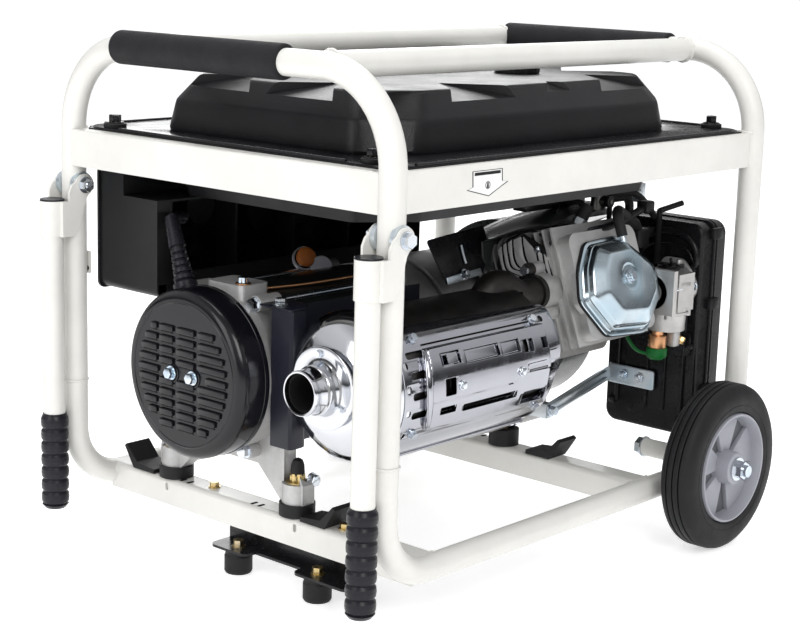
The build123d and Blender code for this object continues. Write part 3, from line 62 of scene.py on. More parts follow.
# ------------------------------------------------------------------ materials
class Shader:
    """A small builder for one procedural material."""

    def __init__(self, name):
        self.material = bpy.data.materials.new(name)
        self.material.use_nodes = True
        self.tree = self.material.node_tree
        self.bsdf = self.tree.nodes["Principled BSDF"]
        coords = self.tree.nodes.new("ShaderNodeTexCoord")
        self.coords = coords.outputs["Object"]

    def node(self, kind, **values):
        made = self.tree.nodes.new(kind)
        for key, value in values.items():
            setattr(made, key, value)
        return made

    def link(self, source, target):
        self.tree.links.new(source, target)

    def noise(self, scale, detail=4.0, rough=0.5, distortion=0.0):
        made = self.node("ShaderNodeTexNoise")
        made.inputs["Scale"].default_value = scale
        made.inputs["Detail"].default_value = detail
        made.inputs["Roughness"].default_value = rough
        made.inputs["Distortion"].default_value = distortion
        self.link(self.coords, made.inputs["Vector"])
        return made.outputs["Fac"]

    def ramp(self, fac, low, high, start=0.35, end=0.65):
        made = self.node("ShaderNodeValToRGB")
        made.color_ramp.elements[0].position = start
        made.color_ramp.elements[1].position = end
        made.color_ramp.elements[0].color = (*low, 1)
        made.color_ramp.elements[1].color = (*high, 1)
        self.link(fac, made.inputs["Fac"])
        return made.outputs["Color"]

    def spread(self, fac, low, high, start=0.3, end=0.7):
        made = self.node("ShaderNodeMapRange")
        made.inputs["From Min"].default_value = start
        made.inputs["From Max"].default_value = end
        made.inputs["To Min"].default_value = low
        made.inputs["To Max"].default_value = high
        self.link(fac, made.inputs["Value"])
        return made.outputs["Result"]

    def mix(self, fac, first, second):
        made = self.node("ShaderNodeMix", data_type="RGBA")
        self.link(fac, made.inputs["Factor"])
        for value, socket in ((first, made.inputs[MIX_FIRST]), (second, made.inputs[MIX_SECOND])):
            if isinstance(value, tuple):
                socket.default_value = (*value, 1)
            else:
                self.link(value, socket)
        return made.outputs[MIX_RESULT]

    def bump(self, height, strength, distance, before=None):
        made = self.node("ShaderNodeBump")
        made.inputs["Strength"].default_value = strength
        made.inputs["Distance"].default_value = distance
        self.link(height, made.inputs["Height"])
        if before is not None:
            self.link(before, made.inputs["Normal"])
        return made.outputs["Normal"]

    def done(self, color, roughness, normal=None, metallic=0.0, **sockets):
        """Finishes the shader. color is a link, and roughness is a link or one number."""
        inputs = self.bsdf.inputs
        self.link(color, inputs["Base Color"])
        if isinstance(roughness, float):
            inputs["Roughness"].default_value = roughness
        else:
            self.link(roughness, inputs["Roughness"])
        if normal is not None:
            self.link(normal, inputs["Normal"])
        inputs["Metallic"].default_value = metallic
        for key, value in sockets.items():
            inputs[key.replace("_", " ")].default_value = value
        return self.material


def shade(color, factor):
    return tuple(min(1.0, channel * factor) for channel in color)


def coated(name, color, rough=0.35, peel=0.25, dust=0.03, coat=0.0, vary=0.04, specular=0.5):
    """Paint or powder coat: a faint orange peel, a little unevenness and settled dust."""
    s = Shader(name)
    tone = s.ramp(s.noise(9.0, 3.0), shade(color, 1 - vary), shade(color, 1 + vary))
    dusty = s.mix(s.spread(s.noise(34.0, 6.0, 0.7), 0.0, dust, 0.45, 0.8), tone, shade(color, 0.72))
    rough_map = s.spread(s.noise(22.0, 5.0, 0.6), rough - 0.06, rough + 0.08)
    peel_map = s.bump(s.noise(750.0, 2.0), peel, 0.0004)
    wave = s.bump(s.noise(60.0, 2.0), 0.08, 0.001, peel_map)
    return s.done(dusty, rough_map, wave, Coat_Weight=coat, Coat_Roughness=0.12, Specular_IOR_Level=specular)


def moulded(name, color, rough=0.5, grain=0.35, grain_scale=1400.0, vary=0.12, specular=0.22):
    """Moulded plastic or rubber with a fine spark-eroded grain."""
    s = Shader(name)
    tone = s.ramp(s.noise(14.0, 4.0, 0.6), shade(color, 1 - vary), shade(color, 1 + vary))
    scuff = s.mix(s.spread(s.noise(55.0, 7.0, 0.75), 0.0, 0.2, 0.6, 0.85), tone, shade(color, 1.8))
    rough_map = s.spread(s.noise(40.0, 6.0, 0.65), rough - 0.08, rough + 0.1)
    fine = s.bump(s.noise(grain_scale, 2.0), grain, 0.0003)
    return s.done(scuff, rough_map, fine, Specular_IOR_Level=specular)


def metal(name, color, rough=0.25, bump=0.1, bump_scale=260.0, vary=0.06, tint=None):
    """Bare, plated or polished metal, with patches of a second colour where a tint is given."""
    s = Shader(name)
    tone = s.ramp(s.noise(16.0, 4.0, 0.6), shade(color, 1 - vary), shade(color, 1 + vary))
    if tint:
        tone = s.mix(s.spread(s.noise(11.0, 3.0, 0.5, distortion=1.2), 0.0, 0.75, 0.42, 0.68), tone, tint)
    grain = s.noise(bump_scale, 4.0, 0.6)
    rough_map = s.spread(s.noise(48.0, 6.0, 0.7), max(0.02, rough - 0.07), rough + 0.1)
    return s.done(tone, rough_map, s.bump(grain, bump, 0.0004), metallic=1.0)


def casting(name, color, rough=0.45, grit=0.5, soot_and_painted_shade=(0.1, 0.095, 0.09), soot_amount=0.5, metallic=0.8):
    """Sand or die cast aluminium: gritty, uneven and grimy in patches."""
    s = Shader(name)
    tone = s.ramp(s.noise(24.0, 6.0, 0.7), shade(color, 0.84), shade(color, 1.1), 0.3, 0.7)
    grime = s.spread(s.noise(13.0, 8.0, 0.75, distortion=0.6), 0.0, soot_amount, 0.48, 0.8)
    dirty = s.mix(grime, tone, soot_and_painted_shade)
    rough_map = s.spread(s.noise(60.0, 6.0, 0.7), rough - 0.1, rough + 0.15)
    sand = s.bump(s.noise(900.0, 5.0, 0.7), grit, 0.0005)
    lumps = s.bump(s.noise(140.0, 3.0), 0.15, 0.001, sand)
    return s.done(dirty, rough_map, lumps, metallic=metallic)


CREAM = (0.71, 0.70, 0.665)
cream = coated("cream_powder_coat", CREAM, rough=0.36, coat=0.2, dust=0.18)
black_paint = coated(
    "black_enamel", (0.009, 0.009, 0.011), rough=0.26, peel=0.2, coat=0.12, vary=0.2, specular=0.25,
)
tank_paint = coated(
    "black_textured_tank", (0.008, 0.008, 0.0095), rough=0.34, peel=0.7, vary=0.2, specular=0.25,
)
blower_paint = coated("dark_grey_enamel", (0.03, 0.034, 0.035), rough=0.28, peel=0.2, coat=0.4, vary=0.25)
guard_paint = coated(
    "blue_black_enamel", (0.011, 0.012, 0.02), rough=0.36, peel=0.3, coat=0.1, vary=0.2, specular=0.25,
)
black_plastic = moulded("black_moulded_plastic", (0.010, 0.010, 0.011), rough=0.38)
gloss_plastic = moulded("black_gloss_plastic", (0.005, 0.005, 0.007), rough=0.15, grain=0.06, specular=0.35)
air_box_plastic = moulded("black_air_box_plastic", (0.006, 0.006, 0.007), rough=0.26, grain=0.12)
rubber = moulded("black_rubber", (0.014, 0.014, 0.015), rough=0.55, grain=0.5, grain_scale=900.0)
boot_rubber = moulded("glossy_boot_rubber", (0.012, 0.012, 0.016), rough=0.3, grain=0.15)
foam_grip = moulded("black_foam_grip", (0.014, 0.014, 0.016), rough=0.7, grain=0.9, grain_scale=1700.0)
tyre_rubber = moulded(
    "tyre_rubber", (0.011, 0.011, 0.012), rough=0.55, grain=0.5, grain_scale=700.0, vary=0.2,
)
hub_grey = moulded("grey_hub_plastic", (0.32, 0.325, 0.36), rough=0.42, grain=0.2, vary=0.05)
# A darker copy of the hub's grey: painted shade for the sunk web between the rims.
hub_shadow = moulded("grey_hub_painted_shade", (0.12, 0.122, 0.135), rough=0.5, grain=0.2, vary=0.08)
# A near-black matte fill: real soot in the tail pipe, and painted shade in the fin gaps, the crossbar slots and
# down the tail pipe.
soot_and_painted_shade = moulded("soot_and_painted_shade", (0.004, 0.004, 0.004), rough=0.9, grain=0.7, grain_scale=600.0)
red_plastic = moulded("red_plastic", (0.4, 0.03, 0.02), rough=0.4)
green_plastic = moulded("green_plastic", (0.004, 0.10, 0.018), rough=0.4, grain=0.2)
orange_plastic = moulded("orange_plastic", (0.42, 0.13, 0.03), rough=0.45)
pale_plastic = moulded("pale_plastic", (0.62, 0.61, 0.57), rough=0.5, vary=0.05)
mark_ink = moulded("black_print", (0.006, 0.006, 0.006), rough=0.45, grain=0.1)
mark_white = moulded("white_print", (0.78, 0.78, 0.77), rough=0.4, grain=0.1, vary=0.03)
zinc = metal("zinc_plate", (0.70, 0.74, 0.77), rough=0.34, tint=(0.46, 0.58, 0.66), bump=0.08)
blue_zinc = metal("blue_zinc_plate", (0.50, 0.58, 0.63), rough=0.2, tint=(0.30, 0.44, 0.53), bump=0.06)
zinc_bolt = metal(
    "zinc_bolt", (0.66, 0.69, 0.73), rough=0.2, tint=(0.42, 0.52, 0.62), bump=0.2, bump_scale=500.0,
)
gold_zinc = metal(
    "yellow_zinc", (0.62, 0.47, 0.2), rough=0.3, tint=(0.5, 0.45, 0.35), bump=0.2, bump_scale=500.0,
)
brass = metal("brass", (0.78, 0.55, 0.25), rough=0.25)
copper = metal("copper_plate", (0.62, 0.33, 0.17), rough=0.3, bump=0.06)
shield_chrome = metal("shield_chrome", (0.40, 0.405, 0.44), rough=0.09, bump=0.03, bump_scale=60.0, vary=0.03)
chrome = metal("polished_chrome", (0.62, 0.63, 0.66), rough=0.07, bump=0.02, bump_scale=60.0, vary=0.02)
cast_alu = casting(
    "cast_aluminium", (0.50, 0.495, 0.49), soot_and_painted_shade=(0.2, 0.195, 0.19), soot_amount=0.35, metallic=0.55,
)
dull_cast = casting(
    "dull_cast_aluminium", (0.36, 0.35, 0.345), soot_and_painted_shade=(0.15, 0.145, 0.14), soot_amount=0.35, metallic=0.5,
)
bright_cast = casting("machined_cast_aluminium", (0.56, 0.55, 0.54), rough=0.38, grit=0.3, soot_amount=0.25)
fin_cast = casting(
    "cast_fins", (0.52, 0.515, 0.51), rough=0.45, grit=0.35, soot_and_painted_shade=(0.2, 0.195, 0.19),
    soot_amount=0.2, metallic=0.4,
)
dark_steel = metal("dark_steel", (0.16, 0.155, 0.15), rough=0.4, bump=0.2)
can_steel = metal("dark_muffler_steel", (0.095, 0.092, 0.09), rough=0.42, tint=(0.06, 0.055, 0.05), bump=0.25)
elbow_steel = metal(
    "sooty_steel", (0.055, 0.052, 0.05), rough=0.55, tint=(0.03, 0.026, 0.024), bump=0.35, bump_scale=400.0,
)
lamination = coated("black_stator", (0.012, 0.014, 0.013), rough=0.3, peel=0.5, coat=0.25, vary=0.6)

BY_SLOT = {
    "cream_paint": cream, "black_paint": black_paint, "black_plastic": black_plastic, "rubber": rubber,
    "tyre_rubber": tyre_rubber, "hub_grey": hub_grey, "zinc": zinc, "bolt_gold": gold_zinc,
    "cast_aluminium": cast_alu, "chrome_steel": chrome, "dark_steel": dark_steel,
    "laminations": lamination, "element_foam": foam_grip, "copper_red": red_plastic,
}
BY_NODE = {
    "handle_rubbers_near": boot_rubber, "handle_rubbers_far": boot_rubber, "crossbar_grips": foam_grip,
    "tank_lower_shell": tank_paint, "alternator_end_cover": gloss_plastic, "cylinder_head": cast_alu,
    "machine_bolts": zinc_bolt, "pivot_bolts": zinc_bolt,
    "exhaust_elbow": elbow_steel, "carburettor": bright_cast,
    "air_cleaner_case": air_box_plastic, "air_cleaner_cover": air_box_plastic,
    "output_lead": boot_rubber, "fan_housing": blower_paint, "alternator_adapter": dull_cast,
}
slot_of = {row["node"]: row["material_slot"] for row in frame["record"]["subparts"]}
for name, thing in nodes.items():
    material = BY_NODE.get(name) or BY_SLOT[slot_of[name]]
    thing.data.materials.clear()
    thing.data.materials.append(material)


# ------------------------------------------------------------------ shape tools, in station millimetres
def axes_for(direction):
    """Two directions square to a direction and to each other."""
    direction = Vector(direction).normalized()
    guide = Vector(UP) if abs(direction.z) < 0.9 else Vector(RIGHT)
    first = guide.cross(direction).normalized()
    return direction, first, direction.cross(first)


def placed(origin, u, v):
    """Turns flat (u, v) and height into stations, from an origin and the two directions."""
    origin, u, v = Vector(origin), Vector(u).normalized(), Vector(v).normalized()
    w = u.cross(v)
    return lambda p: origin + u * p[0] + v * p[1] + w * p[2]


def lifted(height):
    """Lays a flat shape level, at a height above the bottom rails."""
    return lambda p: Vector((p[0], p[1], p[2] + height))


def unit(value):
    """A value held between 0 and 1."""
    return min(1.0, max(0.0, value))


def arc_points(cx, cy, r, start, end, steps):
    """Points on an arc, from one angle in degrees to another."""
    turns = [radians(start + (end - start) * i / steps) for i in range(steps + 1)]
    return [(cx + r * cos(turn), cy + r * sin(turn)) for turn in turns]


def circle(cx, cy, r, steps=28):
    return arc_points(cx, cy, r, 0, 360, steps)[:-1]


def rounded(points, radius, steps=5):
    """A closed outline with its corners rounded. radius is one number, or one for each corner."""
    count = len(points)
    radii = radius if isinstance(radius, (list, tuple)) else [radius] * count
    out = []
    for i, here in enumerate(points):
        corner = Vector(here)
        before = Vector(points[i - 1]) - corner
        after = Vector(points[(i + 1) % count]) - corner
        reach = min(radii[i], before.length * 0.48, after.length * 0.48)
        if reach < 0.05:
            out.append(tuple(corner))
            continue
        start, end = corner + before.normalized() * reach, corner + after.normalized() * reach
        for step in range(steps + 1):
            t = step / steps
            out.append(tuple(start * (1 - t) ** 2 + corner * 2 * t * (1 - t) + end * t ** 2))
    return out


def oblong(x0, x1, y0, y1, r=1.5, steps=4):
    return rounded([(x0, y0), (x1, y0), (x1, y1), (x0, y1)], r, steps)


def smooth_path(points, steps=6):
    """A smooth curve through points."""
    points = [Vector(p) for p in points]
    out = []
    for i in range(len(points) - 1):
        before, a = points[max(0, i - 1)], points[i]
        b, after = points[i + 1], points[min(len(points) - 1, i + 2)]
        for step in range(steps):
            t = step / steps
            out.append(
                0.5 * (2 * a + (b - before) * t + (2 * before - 5 * a + 4 * b - after) * t ** 2
                       + (3 * a - before - 3 * b + after) * t ** 3)
            )
    return out + [points[-1]]


class Piece:
    """Gathers the faces of one visual piece, then hands it to the shared frame."""

    def __init__(self, name, *materials):
        self.name = name
        self.materials = materials
        self.points, self.faces, self.paints = [], [], []

    def add(self, points, faces, paint=0):
        start = len(self.points)
        self.points += [Vector(p) for p in points]
        self.faces += [[start + i for i in face] for face in faces]
        self.paints += [paint] * len(faces)
        return self

    def rings(self, loops, paint=0, cap_start=True, cap_end=True, closed=False):
        """Skins rings of points that all have the same count."""
        count = len(loops[0])
        faces = []
        last = len(loops) if closed else len(loops) - 1
        for row in range(last):
            a, b = row * count, (row + 1) % len(loops) * count
            for i in range(count):
                j = (i + 1) % count
                faces.append([a + i, a + j, b + j, b + i])
        if cap_start and not closed:
            faces.append(list(range(count))[::-1])
        if cap_end and not closed:
            faces.append([(len(loops) - 1) * count + i for i in range(count)])
        return self.add([p for loop in loops for p in loop], faces, paint)

    def lathe(self, profile, origin, direction, paint=0, steps=64, closed=True):
        """Turns (along, radius) points about a line. A closed profile goes round to its first point."""
        direction, u, v = axes_for(direction)
        origin = Vector(origin)
        spokes = [u * cos(2 * pi * i / steps) + v * sin(2 * pi * i / steps) for i in range(steps)]
        loops = [
            [origin + direction * along + spoke * max(radius, 0.001) for spoke in spokes]
            for along, radius in profile
        ]
        return self.rings(loops, paint, closed=closed)

    def turned(self, profile, origin, direction, paint=0, steps=64):
        """A lathe shape whose profile starts and ends on the line, so its two ends are closed by themselves."""
        return self.lathe(profile, origin, direction, paint, steps, closed=False)

    def solid(self, mesh, place, paint=0):
        """Adds a bmesh, with its points put in place by a function."""
        mesh.verts.index_update()
        points = [place(v.co) for v in mesh.verts]
        faces = [[v.index for v in face.verts] for face in mesh.faces]
        mesh.free()
        return self.add(points, faces, paint)

    def prism(self, outline, depth, place, bevel=0.0, paint=0):
        """A flat outline given a thickness, with its edges softened."""
        mesh = bmesh.new()
        face = mesh.faces.new([mesh.verts.new((u, v, 0)) for u, v in outline])
        grown = bmesh.ops.extrude_face_region(mesh, geom=[face])
        for item in grown["geom"]:
            if isinstance(item, bmesh.types.BMVert):
                item.co.z += depth
        if bevel:
            rims = [e for e in mesh.edges if abs(e.verts[0].co.z - e.verts[1].co.z) < 1e-6]
            bmesh.ops.bevel(mesh, geom=rims, offset=bevel, segments=2, affect="EDGES", profile=0.5)
        return self.solid(mesh, place, paint)

    def plate(self, loops, depth, place, bevel=0.0, paint=0, cuts=()):
        """A sheet: the first loop is its outline, the rest are holes. cuts divide it along u or v."""
        curve = bpy.data.curves.new("outline", "CURVE")
        curve.dimensions = "2D"
        curve.fill_mode = "BOTH"
        curve.extrude = depth / 2 - bevel
        curve.bevel_depth = bevel
        curve.bevel_resolution = 1
        curve.offset = -bevel
        for loop in loops:
            spline = curve.splines.new("POLY")
            spline.points.add(len(loop) - 1)
            for point, (u, v) in zip(spline.points, loop):
                point.co = (u, v, 0, 1)
            spline.use_cyclic_u = True
        thing = bpy.data.objects.new("outline", curve)
        flat = bpy.data.meshes.new_from_object(thing)
        mesh = bmesh.new()
        mesh.from_mesh(flat)
        bmesh.ops.remove_doubles(mesh, verts=mesh.verts, dist=0.002)
        for axis, values in cuts:
            normal = (1, 0, 0) if axis == "u" else (0, 1, 0)
            for value in values:
                geometry = mesh.verts[:] + mesh.edges[:] + mesh.faces[:]
                spot = Vector(normal) * value
                bmesh.ops.bisect_plane(mesh, geom=geometry, plane_co=spot, plane_no=normal, dist=1e-4)
        bpy.data.objects.remove(thing)
        bpy.data.curves.remove(curve)
        bpy.data.meshes.remove(flat)
        half = depth / 2
        return self.solid(mesh, lambda p: place((p[0], p[1], p[2] + half)), paint)

    def block(self, low, high, bevel=0.8, paint=0):
        """A box between two corners, with its edges softened."""
        mesh = bmesh.new()
        bmesh.ops.create_cube(mesh, size=1.0)
        size = Vector(high) - Vector(low)
        middle = (Vector(high) + Vector(low)) / 2
        for v in mesh.verts:
            v.co = Vector(v.co[i] * size[i] for i in range(3)) + middle
        reach = min(bevel, min(size) * 0.45)
        bmesh.ops.bevel(mesh, geom=mesh.edges[:], offset=reach, segments=2, affect="EDGES", profile=0.5)
        return self.solid(mesh, lambda p: p.copy(), paint)

    def tube(self, points, radius, paint=0, sides=14, smooth=True):
        """A round bar or cable along points. radius may be a function of how far along it is, from 0 to 1."""
        path = smooth_path(points) if smooth else [Vector(p) for p in points]
        size = radius if callable(radius) else (lambda t: radius)
        loops = []
        _, u, v = axes_for(path[1] - path[0])
        for i, here in enumerate(path):
            heading = (path[min(i + 1, len(path) - 1)] - path[max(i - 1, 0)]).normalized()
            u = (u - heading * u.dot(heading)).normalized()
            v = heading.cross(u)
            r = size(i / (len(path) - 1))
            turns = [2 * pi * k / sides for k in range(sides)]
            loops.append([here + (u * cos(turn) + v * sin(turn)) * r for turn in turns])
        return self.rings(loops, paint)

    def hex_head(self, seat, out, flats=10.0, height=6.0, washer=0.0, paint=0):
        """A hexagon head with softened edges, and a washer of the given radius under it."""
        out, u, v = axes_for(out)
        seat = Vector(seat)
        place = placed(seat + out * (1.5 if washer else 0.0), u, v)
        corner = flats / 1.732
        outline = [(corner * cos(pi * k / 3), corner * sin(pi * k / 3)) for k in range(6)]
        self.prism(outline, height, place, bevel=min(0.7, height * 0.2), paint=paint)
        if washer:
            ring = [(0, 2), (0, washer - 0.3), (0.3, washer), (1.2, washer), (1.5, washer - 0.3), (1.5, 2)]
            self.lathe(ring, seat, out, paint, 28)
        return self

    def pan_head(self, seat, out, r=4.0, height=2.6, paint=0):
        """A pan-head screw with a round recess."""
        profile = [(-0.2, 0), (-0.2, r), (height * 0.35, r), (height * 0.75, r * 0.82), (height, r * 0.45),
                   (height, r * 0.34), (height * 0.55, r * 0.2), (height * 0.55, 0)]
        return self.turned(profile, seat, out, paint, 24)

    def finish(self, body="frame", replaces=(), angle=34.0):
        """Makes the mesh and gives it to a body. Returns the object."""
        mesh = bpy.data.meshes.new(self.name)
        mesh.from_pydata([at(*p) for p in self.points], [], self.faces)
        for face, paint in zip(mesh.polygons, self.paints):
            face.material_index = paint
        work = bmesh.new()
        work.from_mesh(mesh)
        bmesh.ops.remove_doubles(work, verts=work.verts, dist=4e-6)
        bmesh.ops.recalc_face_normals(work, faces=work.faces)
        work.to_mesh(mesh)
        work.free()
        mesh.validate()
        for material in self.materials:
            mesh.materials.append(material)
        mesh.shade_smooth()
        mesh.set_sharp_from_angle(angle=radians(angle))
        thing = bpy.data.objects.new(self.name, mesh)
        bpy.context.scene.collection.objects.link(thing)
        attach(thing, body)
        if replaces:
            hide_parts(*replaces)
        return thing


def on_bore(out, along, up):
    """A station by its distance out along the bore, along the crankshaft and above the bore."""
    y = CRANK_Y - cos(TILT) * out + sin(TILT) * up
    z = CRANK_Z + sin(TILT) * out + cos(TILT) * up
    return Vector((CYLINDER_X + along, y, z))


BORE_OUT = Vector((0, -cos(TILT), sin(TILT)))
BORE_UP = Vector((0, sin(TILT), cos(TILT)))


# ------------------------------------------------------------------ muffler and heat shield
TAIL_R = 23.4


def muffler_piece():
    """The dark can with its rolled seams, its chrome dome and flange, and the tail pipe."""
    made = Piece("muffler_body", can_steel, chrome, soot_and_painted_shade)
    axis, tail = (0, MUFFLER_Y, MUFFLER_Z), (0, MUFFLER_Y + 1, MUFFLER_Z + 5)
    made.turned(
        [(64, 0), (64, 70), (66, 76), (69, 78.5), (73, 78.5), (75, 77), (300, 77), (303, 79), (308, 79),
         (311, 76), (316, 62), (318, 40), (318, 0)],
        axis, RIGHT, 0, 96,
    )
    made.lathe(
        [(66, 81.2), (60, 80.8), (55, 79), (49, 75), (44, 70), (39, 64), (35, 57), (31, 49), (29, 42), (29, 0),
         (64, 0), (66, 60)],
        axis, RIGHT, 1, 96,
    )
    made.lathe(
        [(30, 24), (27, 30), (25.5, 37), (24.6, 41), (24.2, 43.4), (23, 44.4), (21.4, 44.2), (20.8, 43),
         (21.4, 38), (21.8, 33), (20.6, 29),
         (18.4, 27.2), (12, 26.6), (9, 26.3), (8, 25), (4, 23.6), (-6, 23.4),
         (-9, 23.9), (-11, 23.7), (-11.9, 22.6), (-11.6, 21.2), (-9, 20.4), (30, 20.2)],
        tail, RIGHT, 1, 80,
    )
    # The tail pipe's lining and a disc closing it are near-black: real soot, and painted shade down the pipe.
    made.lathe([(-6, 20.5), (52, 20.5), (52, 19.2), (-6, 19.2)], tail, RIGHT, 2, 48)
    made.turned([(34, 0), (34, 19.8), (36, 19.8), (36, 0)], tail, RIGHT, 2, 48)
    for turn in (20, 140, 260):
        heading = Vector((0, -cos(radians(turn)), sin(radians(turn))))
        spot = Vector((2, 0, 0)) + Vector(tail) + heading * TAIL_R
        made.turned([(0, 0), (0, 1.8), (0.3, 1.6), (0.4, 0)], spot, heading, 1, 12)
    made.finish(replaces=("muffler",))


SHIELD_R, SHIELD_SHEET = 82.0, 1.5
PANEL_RISE = 6.5
PANEL_X0, PANEL_X1 = 90.0, 294.0
PANEL_LOW, PANEL_HIGH = -27.0, 35.0


def round_muffler(r):
    """Bends a flat (x, arc, height) sheet round the muffler. Arc lengths are measured at the shield's face."""
    def place(p):
        turn = p[1] / SHIELD_R
        reach = r + p[2]
        return Vector((p[0], MUFFLER_Y - reach * cos(turn), MUFFLER_Z + reach * sin(turn)))
    return place


def arc_at(angle):
    return SHIELD_R * radians(angle)


def arc_box(x0, x1, low, high, r=1.2):
    return oblong(x0, x1, arc_at(low), arc_at(high), r, 3)


def heat_shield_piece():
    """The chrome shield with its slots, and the raised panel bolted on its face."""
    made = Piece("heat_shield_skin", shield_chrome, soot_and_painted_shade, zinc_bolt)
    bends = [arc_at(angle) for angle in range(-57, 58, 3)]
    outline = rounded(
        [(58, arc_at(-58)), (300, arc_at(-58)), (309, arc_at(-40)), (309, arc_at(-10)), (316, arc_at(2)),
         (320, arc_at(12)), (320, arc_at(46)), (314, arc_at(51)), (58, arc_at(57.5))],
        [3, 12, 8, 10, 8, 8, 8, 5, 3], 6,
    )
    bolts = ((64.5, 25), (64, 8), (64, -10), (65.5, -29), (300, 38.4))
    holes = [circle(x, arc_at(angle), 3.7) for x, angle in bolts]
    holes += [arc_box(70, 103, angle - 2.6, angle + 2.6, 3.2) for angle in (32, 17, 2, -12.5)]
    holes += [arc_box(98, 288, 37.6, 38.6, 0.6)]
    holes += [arc_box(x0, x1, low, high, 0.8) for x0, x1, low, high in (
        (112, 121, 19, 28), (202, 211, 16.8, 26.4), (246, 264, 15, 25), (112, 129, -1, 10),
        (108, 133, -14.5, -8.5), (145, 236, -16, -10), (247, 289, -24, -14),
    )]
    made.plate([outline] + holes, SHIELD_SHEET, round_muffler(SHIELD_R - SHIELD_SHEET), 0.35, 0, [("v", bends)])

    def left_edge(angle):
        return PANEL_X0 + 6 - 8 * (1 - ((angle - 4) / 31.0) ** 2)

    def panel_place(p):
        angle = degrees(p[1] / SHIELD_R)
        inside = min(
            p[0] - left_edge(angle), PANEL_X1 - p[0],
            p[1] - arc_at(PANEL_LOW), arc_at(PANEL_HIGH) - p[1],
        )
        t = unit(inside / 4.0)
        rise = PANEL_RISE * t * t * (3 - 2 * t)
        crease = -4.0 + 5.0 * unit((p[0] - 225) / 18.0)
        rise -= 1.3 * unit((crease - angle) / 1.6 + 0.5) * t
        rise -= 1.2 * unit(min(p[0] - 250, 286 - p[0], (angle - 1.5) * 1.4, (7.5 - angle) * 1.4) / 1.5)
        return round_muffler(SHIELD_R + rise)(p)

    outline = [(left_edge(a), arc_at(a)) for a in (*range(int(PANEL_HIGH), int(PANEL_LOW), -3), PANEL_LOW)]
    outline += rounded(
        [(left_edge(PANEL_LOW) + 4, arc_at(PANEL_LOW)), (PANEL_X1, arc_at(PANEL_LOW)),
         (PANEL_X1, arc_at(PANEL_HIGH)), (left_edge(PANEL_HIGH) + 4, arc_at(PANEL_HIGH))], [0, 5, 5, 0], 4,
    )
    windows = [arc_box(*spot) for spot in (
        (111, 142, 19, 28), (150, 206, 17.3, 26.8), (210, 241, 17.0, 26.2), (247, 254, 15.4, 24.6),
        (257, 264, 15.2, 24.4), (279, 289, 15.5, 23.5), (112, 129, -1, 10.5), (108, 133, -14.3, -9),
        (145, 236, -15.8, -10.6), (247, 289, -23.5, -14.6),
    )]
    # The sheet is divided more finely where its edges and its sunk window bend.
    across = [PANEL_X0 - 3 + step * 1.5 for step in range(12)] + [*range(110, 290, 6)]
    across += [PANEL_X1 - 1 - step for step in range(5)] + [249, 250.5, 284.5, 286]
    along = [arc_at(PANEL_LOW + step) for step in (0.6, 1.3, 2, 2.8)] + [arc_at(a) for a in range(-23, 33, 2)]
    along += [arc_at(PANEL_HIGH - step) for step in (0.6, 1.3, 2, 2.8)]
    along += [arc_at(a) for a in (1.5, 2.6, 6.4, 7.5)]
    cuts = [("u", sorted(across)), ("v", sorted(along))]
    made.plate([outline] + windows, 1.2, panel_place, 0.35, 0, cuts)

    lip = []
    for step in range(25):
        angle = PANEL_LOW + 1 + (PANEL_HIGH - PANEL_LOW - 2) * step / 24
        lip.append(round_muffler(SHIELD_R + 3.6)((left_edge(angle) + 2.0, arc_at(angle), 0)))
    made.tube(lip, lambda t: 0.7 + 3.9 * sin(pi * unit(t)) ** 0.5, 0, 14, smooth=False)
    for x0, x1, low, high in ((151, 204.5, 18.0, 26.2), (211.5, 239.5, 17.7, 25.6), (123, 141, 19.8, 27.2)):
        cuts = [("v", [arc_at(low + step) for step in range(1, int(high - low))])]
        made.plate([arc_box(x0, x1, low, high)], 0.8, round_muffler(SHIELD_R + PANEL_RISE - 1.6), 0.2, 0, cuts)
    for x, angle in ((138, 4), (239, 3)):
        seat = round_muffler(SHIELD_R + PANEL_RISE + 0.9)((x, arc_at(angle), 0))
        made.hex_head(seat, (0, -cos(radians(angle)), sin(radians(angle))), 7.5, 3.2, 5.4, 2)
    rolled_edge = [round_muffler(SHIELD_R + 0.4)((x, arc_at(-58), 0)) for x in (59, 120, 180, 240, 300)]
    made.tube(rolled_edge, 2.2, 0, 14, smooth=False)
    made.finish(replaces=("heat_shield",), angle=38)


muffler_piece()
heat_shield_piece()


# ------------------------------------------------------------------ rocker cover
COVER_CORNERS = [(-42, 47), (22, 49), (79, 7), (76, -36), (36, -71), (-41, -65), (-76, -20), (-65, 18)]
HEAD_TOP = 246.0
COVER_CENTRE = Vector((0.0, -3.0))


def cover_reach(turn, outline):
    """How far the outline is from the cover's bolt in one direction."""
    heading = Vector((cos(turn), sin(turn)))
    best = 0.0
    for i, start in enumerate(outline):
        end = outline[(i + 1) % len(outline)]
        run = end - start
        cross = heading.x * run.y - heading.y * run.x
        if abs(cross) < 1e-9:
            continue
        away = start - COVER_CENTRE
        t = (away.x * run.y - away.y * run.x) / cross
        s = (away.x * heading.y - away.y * heading.x) / cross
        if t > best and -1e-6 <= s <= 1 + 1e-6:
            best = t
    return best


